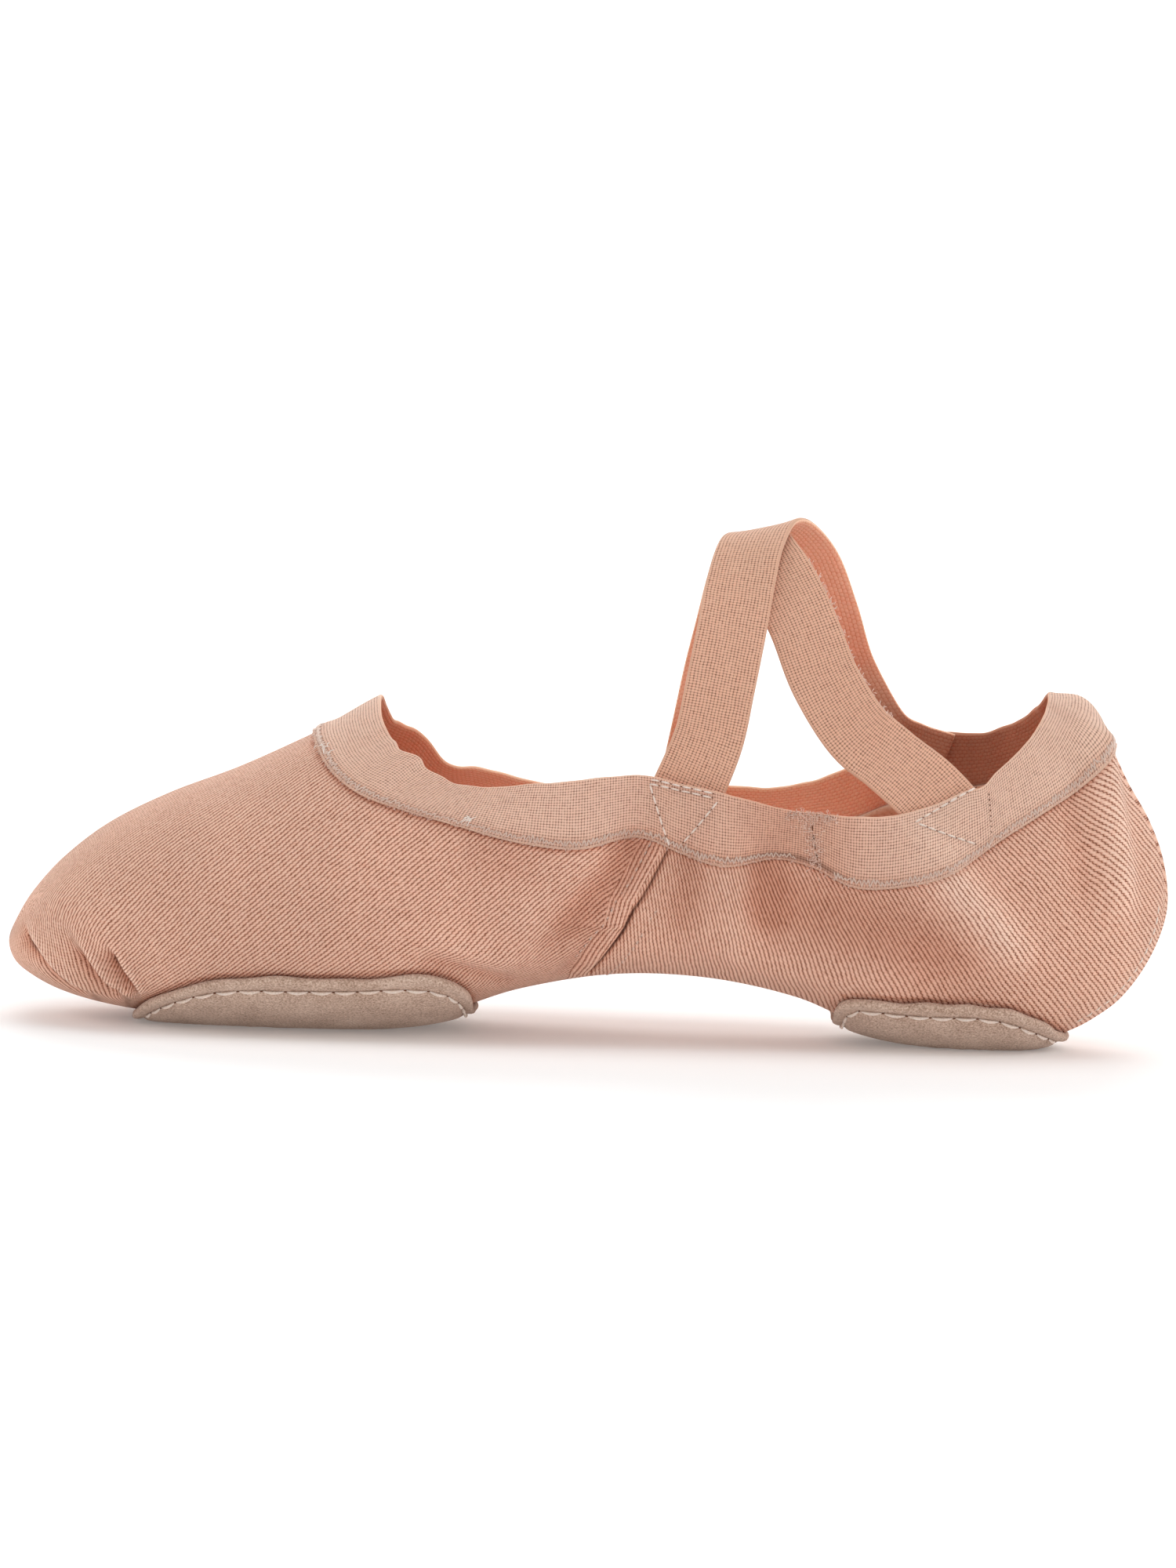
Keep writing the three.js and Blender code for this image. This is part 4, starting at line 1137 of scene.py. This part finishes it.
# Columns: x, then a height and the side it is sewn to, or a turn in degrees round the hoop and 0
OVER_STRAP_ROWS = [
    (17.8, 47.6, NEAR), (18.2, 50.0, NEAR), (19.2, 52.8, NEAR),
    (23.0, 1, 0), (25.0, 16, 0), (26.8, 32, 0), (28.4, 50, 0), (30.2, 70, 0), (32.8, 90, 0),
    (37.2, 109, 0), (42.4, 128, 0), (46.8, 147, 0), (51.0, 164, 0),
    (58.4, 62.8, FAR), (65.2, 58.4, FAR), (72.6, 56.2, FAR),
]
UNDER_STRAP_ROWS = [
    (20.4, 44.6, FAR), (20.6, 47.2, FAR), (21.0, 50.2, FAR),
    (23.0, 180, 0), (24.8, 165, 0), (26.8, 149, 0), (28.6, 131, 0), (30.2, 111, 0), (31.6, 90, 0),
    (33.8, 68, 0), (37.4, 51, 0), (41.6, 35, 0), (46.0, 19, 0), (52.6, 5, 0),
    (59.4, 60.4, NEAR), (66.6, 54.8, NEAR), (72.6, 48.8, NEAR),
]


# %% Strap ribbons
def hoop_point(x, turn, depth):
    """A point of the hoop: half an ellipse across the shoe that rises to the rear."""
    angle = np.radians(turn)
    lift = HOOP_REARWARD * (x - HOOP_X) * np.sin(angle)
    y = -(HOOP_HALF_WIDTH - depth) * np.cos(angle)
    return np.array([x, y, HOOP_FOOT + (HOOP_RISE + lift - depth) * np.sin(angle)])


def strap_row(x, value, side, depth):
    """The middle point and outward direction of one row."""
    if side:
        s = np.array(row_at(x))
        angle = girth_at(s, np.array(value), side)
        return off_last(s, angle, -SEWN_DEPTH), last_normal(s, angle)
    step = 0.1
    point = hoop_point(x, value, depth)
    along = hoop_point(x + step, value, depth) - point
    across = hoop_point(x, value + step, depth) - point
    return point, unit(np.cross(along, across))


def strap_frame(table, depth, u):
    """Middle line, the way across the strap and the way out, at row numbers u."""
    rows = [strap_row(x, value, side, depth) for x, value, side in table]
    points = np.array([point for point, _ in rows])
    outs = np.array([out for _, out in rows])
    step = 0.01
    along = unit(table_at(points, u + step) - table_at(points, u - step))
    across = unit(np.cross(along, table_at(outs, u)))
    return table_at(points, u), across, np.cross(across, along)


def strap_edge(table, depth, first, final, side):
    """Points along one edge of a strap between two rows, and the way out there."""
    u = np.linspace(first, final, 60)
    middle, across, out = strap_frame(table, depth, u)
    return middle + side * across * STRAP_WIDTH / 2, out


def build_strap(name, table, depth, node, steps=150):
    """A strap as the bar profile carried along its middle line, and flattened to close its ends.
    Its edges wave a little, and it spreads where it is sewn to the near collar."""
    u = np.linspace(0, len(table) - 1, steps)
    u = np.concatenate([u[:1], u, u[-1:]])
    thick = np.concatenate([[0], np.ones(steps), [0]])[:, None]
    middle, across, out = strap_frame(table, depth, u)
    place, height = bar_profile(STRAP_WIDTH, -ELASTIC_WALL / 2, ELASTIC_WALL / 2)
    place, height = np.append(place, place[0]), np.append(height, height[0])
    near_row = 0 if table[0][2] == NEAR else len(table) - 1
    spread = 1 + NEAR_SPREAD * bell(u - near_row, SPREAD_ROWS)
    free = np.clip(np.minimum(u - 2, len(table) - 3 - u), 0, 1)[:, None]
    edge = (place - STRAP_WIDTH / 2) / (STRAP_WIDTH / 2)
    wave = EDGE_WAVE * free * np.sin(WAVE_SPEED * u[:, None] + WAVE_TWIST * edge) * edge ** 2
    sideways = spread[:, None] * (place - STRAP_WIDTH / 2)
    points = middle[:, None] + across[:, None] * sideways[..., None]
    points = points + out[:, None] * (height * thick + wave)[..., None]
    weave = np.stack(np.broadcast_arrays(length_along(middle)[:, None], place[None]), axis=-1)
    faces = grid_faces(*points.shape[:2], flip=True)
    is_back = np.tile(height[:-1] < 0, len(u) - 1)
    # Painted shade on the back: from the inside of the shoe, and darker towards the bottom at the rear
    x, z = points[..., 0], points[..., 2]
    inside = np.interp(x, INSIDE_PAINTED_SHADE[:, 0], INSIDE_PAINTED_SHADE[:, 1])
    inside = inside * np.clip((SHADE_TOP - z) / SHADE_FADE, 0, 1)
    open_air = OPEN_AIR + LOW_SHADE * np.clip((LOW_TOP - z) / LOW_FADE, 0, 1) * (x > REAR_FROM)
    hollow = np.maximum(inside, open_air) * (height < 0)
    strap = add_piece(name, points, faces, [strap_face, elastic_back],
                      weave.reshape(-1, 2)[faces], is_back, hollow.ravel())
    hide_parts(node)
    return strap


build_strap("elastic_strap_over", OVER_STRAP_ROWS, 0, "strap_over")
build_strap("elastic_strap_under", UNDER_STRAP_ROWS, STRAP_SPACING, "strap_under")

# %% [markdown]
# ## Suede patches and insole pads
# The patches are discs that follow the underside of the last. In plan each is a rounded outline,
# squarer at one end, and the disc is a grid of rings from its middle. The suede is pressed
# flat on the floor in the middle, and sinks along the line of stitches near its edge.

# %% Patches
SPOKES, RINGS, ROUNDING = 160, 22, 0.55
# All in mm: where the stitch line lies, how deep and how wide it sinks
STITCH_INSET, STITCH_SINK, SINK_SPREAD = 2.1, 0.5, 0.7
# Columns: how far the cut edge of the suede waves in mm, how often round it, phase
CUT_WAVES = [(0.25, 7, 1), (0.15, 17, 0)]


def build_disc(name, patch, inset, low, high, material, stitched):
    """A disc between two depths: rings out along its lower face, round the edge and back inside. A
    ring is some share of the flat face wide, then goes beyond it by the sine or cosine of the edge."""
    turn = np.linspace(0, 2 * np.pi, SPOKES + 1)
    face = np.sin(np.linspace(0, np.pi / 2, RINGS))
    back = face[-4::-3]
    corner = np.linspace(0, np.pi / 2, 5)[1:]
    sine, cosine = ROUNDING * np.sin(corner), ROUNDING * np.cos(corner)
    share = np.concatenate([face, np.ones(2 * len(corner)), back])
    beyond = np.concatenate([0 * face, sine, cosine, 0 * back])
    lift = np.concatenate([0 * face + high, high - ROUNDING + cosine, low + ROUNDING - sine, 0 * back + low])
    edge = patch_outline(patch, turn, inset)
    if stitched:
        edge = edge + sum(height * np.sin(often * turn + phase) for height, often, phase in CUT_WAVES)
    radii = share[:, None] * (edge - ROUNDING) + beyond[:, None]
    lifts = np.broadcast_to(lift[:, None], radii.shape)
    if stitched:
        from_line = edge - radii - STITCH_INSET
        lifts = lifts - STITCH_SINK * bell(from_line, SINK_SPREAD) * (lifts > (low + high) / 2)
    points = under_foot(patch[0] + radii * np.cos(turn), radii * np.sin(turn), lifts)
    return add_piece(name, points, grid_faces(*points.shape[:2]), [material])


for name, patch in PATCHES.items():
    sole = build_disc(f"suede_patch_{name}", patch, 0, GAP, GAP + SUEDE_WALL, suede, True)
    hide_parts(f"sole_{name}")
    floor = -CANVAS_WALL - 2 * GAP
    pad = build_disc(f"insole_pad_{name}", patch, LASTING_MARGIN / 2,
                     floor - INSOLE_WALL, floor, lining, False)
    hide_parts(f"insole_{name}")

# %% [markdown]
# ## Stitches
# Every seam shows its thread. A stitch is a short thread that rises out of the cloth and goes
# back into it: a tube whose middle line is a low arch, with ends that taper. All stitches of a
# seam are computed at once and joined into one piece.

# %% Stitch helper
TUBE_RINGS, TUBE_SIDES = 6, 6
# Share of the radius that is left at the ends, how fast it swells, and how deep the ends go in mm
END_SHARE, SWELL_POWER, END_DEPTH = 0.35, 0.6, 0.1


def build_stitches(name, starts, ends, outs, radius, rise, material):
    """Tubes from starts to ends. The middle line is raised along outs by a half sine, and the
    radius swells from the ends to the middle."""
    rings, sides = TUBE_RINGS, TUBE_SIDES
    t = np.linspace(0, 1, rings)
    around = np.linspace(0, 2 * np.pi, sides, endpoint=False)
    swell = radius * (END_SHARE + (1 - END_SHARE) * np.sin(np.pi * t) ** SWELL_POWER)
    along = unit(ends - starts)
    sideways = unit(np.cross(along, outs))
    upward = np.cross(sideways, along)
    middle = starts[:, None] + (ends - starts)[:, None] * t[None, :, None]
    middle = middle + upward[:, None] * (rise * np.sin(np.pi * t) - END_DEPTH)[None, :, None]
    ring = (np.cos(around)[:, None] * sideways[:, None, None]
            + np.sin(around)[:, None] * upward[:, None, None])
    points = middle[:, :, None] + ring * swell[None, :, None, None]
    cell = np.arange(rings * sides).reshape(rings, sides)
    corners = [cell[:-1], np.roll(cell, -1, 1)[:-1], np.roll(cell, -1, 1)[1:], cell[1:]]
    one = np.stack(corners, axis=-1).reshape(-1, 4)
    caps = np.stack([cell[0, [0, 3, 2, 1]], cell[0, [0, 5, 4, 3]],
                     cell[-1, [0, 1, 2, 3]], cell[-1, [0, 3, 4, 5]]])
    one = np.concatenate([one, caps])[:, ::-1]
    faces = (one[None] + (np.arange(len(starts)) * rings * sides)[:, None, None]).reshape(-1, 4)
    seam = add_piece(name, points, faces, [material], merge=False)


def dashes(points, pitch, share):
    """Starts and ends of even stitches along a dense line of points, by length along it."""
    length = length_along(points)
    first = np.arange(0, length[-1] - pitch * share, pitch)
    return [
        np.stack([np.interp(where, length, points[:, k]) for k in range(3)], axis=-1)
        for where in (first, first + pitch * share)
    ]


def nearest_out(starts, points, outs):
    """The outward direction of the point that lies nearest to each start."""
    return outs[np.argmin(np.linalg.norm(points[None] - starts[:, None], axis=-1), axis=1)]


# %% Stitches round the patches
PATCH_STITCH, PATCH_STITCH_SHARE = 4.8, 0.86
# All in mm: how deep the thread lies in the suede, how low it may go, and from what height it shows
THREAD_DEPTH, LOWEST_THREAD, OFF_FLOOR = 0.15, 0.35, 1.6
PATCH_THREAD, PATCH_RISE, HOLE_RADIUS, HOLE_REACH = 0.34, 0.35, 0.15, 0.3
for name, patch in PATCHES.items():
    turn = np.linspace(0, 2 * np.pi, 1500)
    line = patch_point(patch, turn, STITCH_INSET, GAP + SUEDE_WALL - THREAD_DEPTH)
    deep = patch_point(patch, turn, STITCH_INSET, GAP)
    line[:, 2] = np.maximum(line[:, 2], LOWEST_THREAD)
    starts, ends = dashes(line, PATCH_STITCH, PATCH_STITCH_SHARE)
    shown = np.minimum(starts[:, 2], ends[:, 2]) > OFF_FLOOR
    starts, ends = starts[shown], ends[shown]
    outs = nearest_out(starts, line, unit(line - deep))
    build_stitches(f"stitches_{name}_patch", starts, ends, outs, PATCH_THREAD, PATCH_RISE, thread)
    # Needle holes: dark dots of painted shade where the thread goes into the suede
    along = unit(ends - starts)
    hole = ends + along * PATCH_STITCH * (1 - PATCH_STITCH_SHARE) / 2
    reach = HOLE_REACH * along
    build_stitches(f"needle_holes_{name}_patch", hole - reach, hole + reach, outs,
                   HOLE_RADIUS, 0.0, needle_hole)

# %% [markdown]
# The collar's lower edge is overlocked: thread runs in a zigzag over the edge of the elastic. The
# straps are held by a box or an arrow of lockstitch, and the joint of the collar by a short dark
# row, drawn in the painted shade of needle holes. The arch and the back of the heel are topstitched on both
# sides of the seam.

# %% Overlock along the collar
ZIGZAG_PITCH, ROW_MARGIN = 0.95, 0.5
OVERLOCK_THREAD, OVERLOCK_RISE, OVERLOCK_LIFT = 0.14, 0.12, 0.1
# All in mm: where the low and the high corners lie across the ribbon, and how unsteady the thread is
LOW_CORNER, HIGH_CORNER, UNSTEADY_ALONG, UNSTEADY_ACROSS = 0.7, 1.9, 0.13, 0.2


def overlock(name, side):
    """A zigzag of thread over the elastic's sewn edge: its corners lie by turns low and high."""
    dense = even_collar_rows(1600)
    edge = collar_point(dense, np.array(side), 0.0, COLLAR_GAP + ELASTIC_WALL)
    length = length_along(edge)
    place = np.arange(ROW_MARGIN, length[-1] - ROW_MARGIN, ZIGZAG_PITCH / 2)
    rng = np.random.default_rng(5 + side)
    t = np.interp(place + rng.normal(0, UNSTEADY_ALONG, len(place)), length, dense)
    across = np.where(np.arange(len(place)) % 2, HIGH_CORNER, LOW_CORNER)
    across = (across + rng.normal(0, UNSTEADY_ACROSS, len(place))) / ELASTIC_WIDTH
    corners = collar_point(t, np.array(side), across, collar_face_height(across) + OVERLOCK_LIFT)
    outs = unit(corners - collar_point(t, np.array(side), across, COLLAR_GAP))
    build_stitches(name, corners[:-1], corners[1:], outs[:-1],
                   OVERLOCK_THREAD, OVERLOCK_RISE, dyed_thread)


overlock("overlock_near", NEAR)
overlock("overlock_far", FAR)

# %% Lockstitch on the collar
# Columns: pitch, share of thread, radius, rise in mm, and the (x, z) points of the row on the near side
LOCKSTITCH_ROWS = [
    (2.2, 0.82, 0.2, 0.18, [(11.3, 53.0), (18.2, 51.9), (25.1, 50.5)]),
    (2.2, 0.82, 0.2, 0.18, [(11.5, 53.8), (18.4, 52.7), (25.3, 51.3)]),
    (2.2, 0.82, 0.2, 0.18, [(11.4, 52.8), (13.6, 46.8), (16.1, 40.6)]),
    (2.2, 0.82, 0.2, 0.18, [(25.0, 50.0), (21.6, 45.8), (18.0, 41.6)]),
    (2.1, 0.82, 0.23, 0.18, [(65.0, 47.5), (71.4, 51.6), (77.8, 55.2)]),
    (2.1, 0.82, 0.23, 0.18, [(65.6, 47.2), (71.0, 45.4), (77.4, 43.6)]),
]
# Rows of needle holes, dark with painted shade, at the collar's joint and where the strap ends
DARK_ROWS = {
    "joint_stitches": (1.9, 0.7, 0.16, 0.05, [(44.2, 46.2), (45.0, 42.0), (45.9, 38.4)]),
    "strap_end_holes": (1.1, 0.4, 0.14, 0.02, [(79.5, 53.6), (79.9, 49.8), (80.2, 45.6)]),
}
# The holes between stitches, dark with painted shade: share of the pitch, radius and rise, and how far they
# begin under the thread
HOLE_SIZES, UNDER_THREAD = (0.22, 0.1, 0.02), 0.06
THREAD_LIFT = 0.12


def on_collar(path, lift):
    """Points on the outer face of the near collar along a path of (x, z) points."""
    s, girth = on_side(path, NEAR, steps=60)
    points = last_point(s, girth)
    t = np.interp(points[:, 0], COLLAR_ROWS[:, 0], np.arange(COLLAR_END + 1))
    low, high = (np.interp(points[:, 0], COLLAR_ROWS[:, k], COLLAR_ROWS[:, k + 1]) for k in (0, 2))
    across = (points[:, 2] - low) / (high - low)
    near = np.array(NEAR)
    height = COLLAR_GAP + ELASTIC_WALL + collar_ripple(t, across, near) + collar_joint(t, near)
    height = height + collar_fold(points, across)
    return off_last(s, girth, height + lift), last_normal(s, girth)


def stitch_row(name, point_row, out_row, pitch, share, radius, rise, material, slot):
    """Even stitches along a row of points, each raised along the row's outward directions."""
    starts, ends = dashes(point_row, pitch, share)
    outs = nearest_out(starts, point_row, out_row)
    build_stitches(name, starts, ends, outs, radius, rise, material)


for number, (pitch, share, radius, rise, path) in enumerate(LOCKSTITCH_ROWS):
    line, outs = on_collar(path, THREAD_LIFT)
    stitch_row(f"lockstitch_{number}", line, outs, pitch, share, radius, rise, thread, "elastic")
    first_hole = np.argmax(np.linalg.norm(line - line[0], axis=-1) > pitch * (share - UNDER_THREAD))
    stitch_row(f"lockstitch_holes_{number}", line[first_hole:], outs[first_hole:], pitch, *HOLE_SIZES,
               needle_hole, "elastic")
for name, (*sizes, path) in DARK_ROWS.items():
    stitch_row(name, *on_collar(path, 0.0), *sizes, needle_hole, "elastic")

# %% [markdown]
# Where the collar's ends are joined the cut yarns have come loose, and two places of the overlock are
# tangled. Loose yarns are the same short tubes, laid at random round a path.

# %% Loose yarns
# Columns: material, how many, how far from the path, least and greatest length, radius and rise in mm,
# and the path's (x, z) points
LOOSE_YARNS = {
    "frayed_joint_top": (dyed_thread, 160, 0.5, 0.3, 0.9, 0.06, 0.2,
                         [(39.4, 48.0), (44.0, 48.0), (49.0, 47.4)]),
    "frayed_joint_side": (dyed_thread, 260, 1.0, 0.3, 0.9, 0.06, 0.15,
                          [(43.4, 47.4), (44.6, 42.4), (45.7, 38.4)]),
    "tangle_near": (loose_cotton, 9, 0.7, 0.8, 2.4, 0.08, 0.5,
                    [(-26.2, 45.4), (-24.6, 45.6), (-22.8, 45.2)]),
    "tangle_throat": (loose_cotton, 9, 0.5, 0.8, 2.0, 0.08, 0.4,
                      [(-54.6, 57.6), (-53.4, 56.0)]),
}
YARN_LIFT = 0.1
rng = np.random.default_rng(11)
loose_yarns = [(name, *row, *on_collar(path, YARN_LIFT)) for name, (*row, path) in LOOSE_YARNS.items()]
WORN_ROWS = (9.6, 13.4)
strap_wear = strap_edge(UNDER_STRAP_ROWS, STRAP_SPACING, *WORN_ROWS, -1)
loose_yarns.append(("frayed_strap_edge", dyed_thread, 150, 0.2, 0.3, 1.0, 0.07, 0.2, *strap_wear))
edge_t, edge_share = even_collar_rows(900), 0.4 / ELASTIC_WIDTH
edge_line = collar_point(edge_t, np.array(NEAR), edge_share, collar_face_height(edge_share))
edge_outs = last_normal(*across_collar(edge_t, NEAR, edge_share))
loose_yarns.append(("fuzzy_sewn_edge", dyed_thread, 900, 0.25, 0.3, 0.8, 0.06, 0.15, edge_line, edge_outs))
for name, material, count, spread, least, greatest, radius, rise, line, outs in loose_yarns:
    chosen = rng.integers(0, len(line), count)
    outs = outs[chosen]
    aim = unit(np.cross(outs, rng.normal(size=(count, 3))))
    starts = line[chosen] + np.cross(outs, rng.normal(size=(count, 3))) * spread
    ends = starts + aim * rng.uniform(least, greatest, (count, 1))
    build_stitches(name, starts, ends, outs, radius, rise, material)

# %% Topstitch on the canvas
# Columns: pitch, share of thread, radius, rise in mm
ARCH_TOPSTITCH = (1.9, 0.62, 0.15, 0.08)
ARCH_HOLES = (1.9, 0.3, 0.2, 0.05)
BACK_TOPSTITCH = (2.2, 0.75, 0.18, 0.12)
ON_CLOTH = 0.05
BACK_ROW_FROM_SEAM, BACK_ROW_TOP_X, BACK_ROW_END_X = 9, 115.8, 99.0


def seam_row(offset):
    """The arch seam moved sideways along the cloth."""
    path = np.array(ARCH_SEAM)
    direction = unit(np.gradient(path, axis=0))
    return path + offset * np.stack([-direction[:, 1], direction[:, 0]], axis=-1)


def back_row_line(side):
    """A line down the back of the heel at one distance from its middle, from the widest level to the sole."""
    s = np.linspace(row_at(BACK_ROW_TOP_X), row_at(BACK_ROW_END_X), 80)
    return s, side * np.arcsin(np.clip(BACK_ROW_FROM_SEAM / section(s)[4], 0, 1))


for side, label in ((NEAR, "near"), (FAR, "far")):
    for offset, place in ((TOPSTITCH_FROM_SEAM, "rear"), (-TOPSTITCH_FROM_SEAM, "front")):
        s, turn = on_side(seam_row(offset), side, steps=40)
        line, outward = canvas_point(s, turn), last_normal(s, turn)
        stitch_row(f"arch_topstitch_{label}_{place}", line + ON_CLOTH * outward, outward,
                   *ARCH_TOPSTITCH, dyed_thread, "canvas")
        # Needle holes: dark dots of painted shade between the stitches
        first_hole = len(line) // 120 + 1
        stitch_row(f"arch_needle_holes_{label}_{place}", line[first_hole:], outward[first_hole:],
                   *ARCH_HOLES, needle_hole, "canvas")
    s, turn = back_row_line(side)
    stitch_row(f"back_topstitch_{label}", canvas_point(s, turn, ON_CLOTH), last_normal(s, turn),
               *BACK_TOPSTITCH, thread, "canvas")

# %% [markdown]
# ## Floor and light
# The floor is a plain pale sheet that curves up behind the slipper, so no edge shows. Six large
# soft lamps and a bright sky light it evenly, as in a studio tent.

# %% Floor
FLOOR_HALF_WIDTH, FLOOR_FRONT, FLOOR_BACK, FLOOR_RISE = 4.0, -4.0, 2.0, 3.0


def build_floor():
    """A sheet carried across: flat, then a quarter circle, then upright."""
    turn = np.linspace(0, np.pi / 2, 24)
    y = np.concatenate([[FLOOR_FRONT], FLOOR_BACK + np.sin(turn), [FLOOR_BACK + 1]])
    z = np.concatenate([[0], 1 - np.cos(turn), [FLOOR_RISE]])
    x = np.array([-FLOOR_HALF_WIDTH, FLOOR_HALF_WIDTH])
    points = np.stack(np.broadcast_arrays(x[:, None], y[None], z[None]), axis=-1)
    mesh = bpy.data.meshes.new("studio_floor")
    mesh.from_pydata(points.reshape(-1, 3).tolist(), [], grid_faces(2, len(y), flip=True).tolist())
    mesh.polygons.foreach_set("use_smooth", np.ones(len(mesh.polygons), dtype=bool))
    paper = bpy.data.materials.new("backdrop_paper")
    paper.use_nodes = True
    # Backdrop paper gives plain white with only a soft shadow: it is matt, and glows a little, which is
    # painted light that lightens the shadow and the slipper's underside
    set_sockets(paper.node_tree.nodes["Principled BSDF"], {
        "Base Color": (0.92, 0.92, 0.92, 1), "Roughness": 0.9,
        "Emission Color": (1, 1, 1, 1), "Emission Strength": 0.125,
    })
    mesh.materials.append(paper)
    floor = bpy.data.objects.new("studio_floor", mesh)
    bpy.context.scene.collection.objects.link(floor)


build_floor()

# %% Light
# Columns: place in metres, size in metres, power in watts
LAMPS = {
    "left_softbox": ((-1.5, -0.3, 0.8), 1.2, 7),
    "right_softbox": ((1.5, -0.3, 0.8), 1.2, 8.8),
    "top_softbox": ((0.0, 0.0, 1.7), 1.6, 7),
    "front_fill": ((0.0, -1.9, 0.7), 1.2, 4.4),
    "back_softbox": ((0.0, 1.5, 0.9), 1.2, 8),
    "backdrop_lamp": ((0.0, 1.9, 1.5), 1.6, 12),
}
for name, (place, size, power) in LAMPS.items():
    lamp = bpy.data.lights.new(name, "AREA")
    lamp.shape = "DISK"
    lamp.size = size
    lamp.energy = power
    holder = bpy.data.objects.new(name, lamp)
    goal = Vector((place[0], place[1], 0)) if name == "backdrop_lamp" else Vector((0, 0, 0.05))
    facing = (goal - Vector(place)).to_track_quat("-Z", "Y")
    holder.matrix_world = Matrix.Translation(place) @ facing.to_matrix().to_4x4()
    bpy.context.scene.collection.objects.link(holder)

world = bpy.data.worlds.new("studio_tent")
world.use_nodes = True
set_sockets(world.node_tree.nodes["Background"], {"Color": (1, 1, 1, 1), "Strength": 0.455})
bpy.context.scene.world = world
bpy.context.scene.view_settings.view_transform = "Standard"
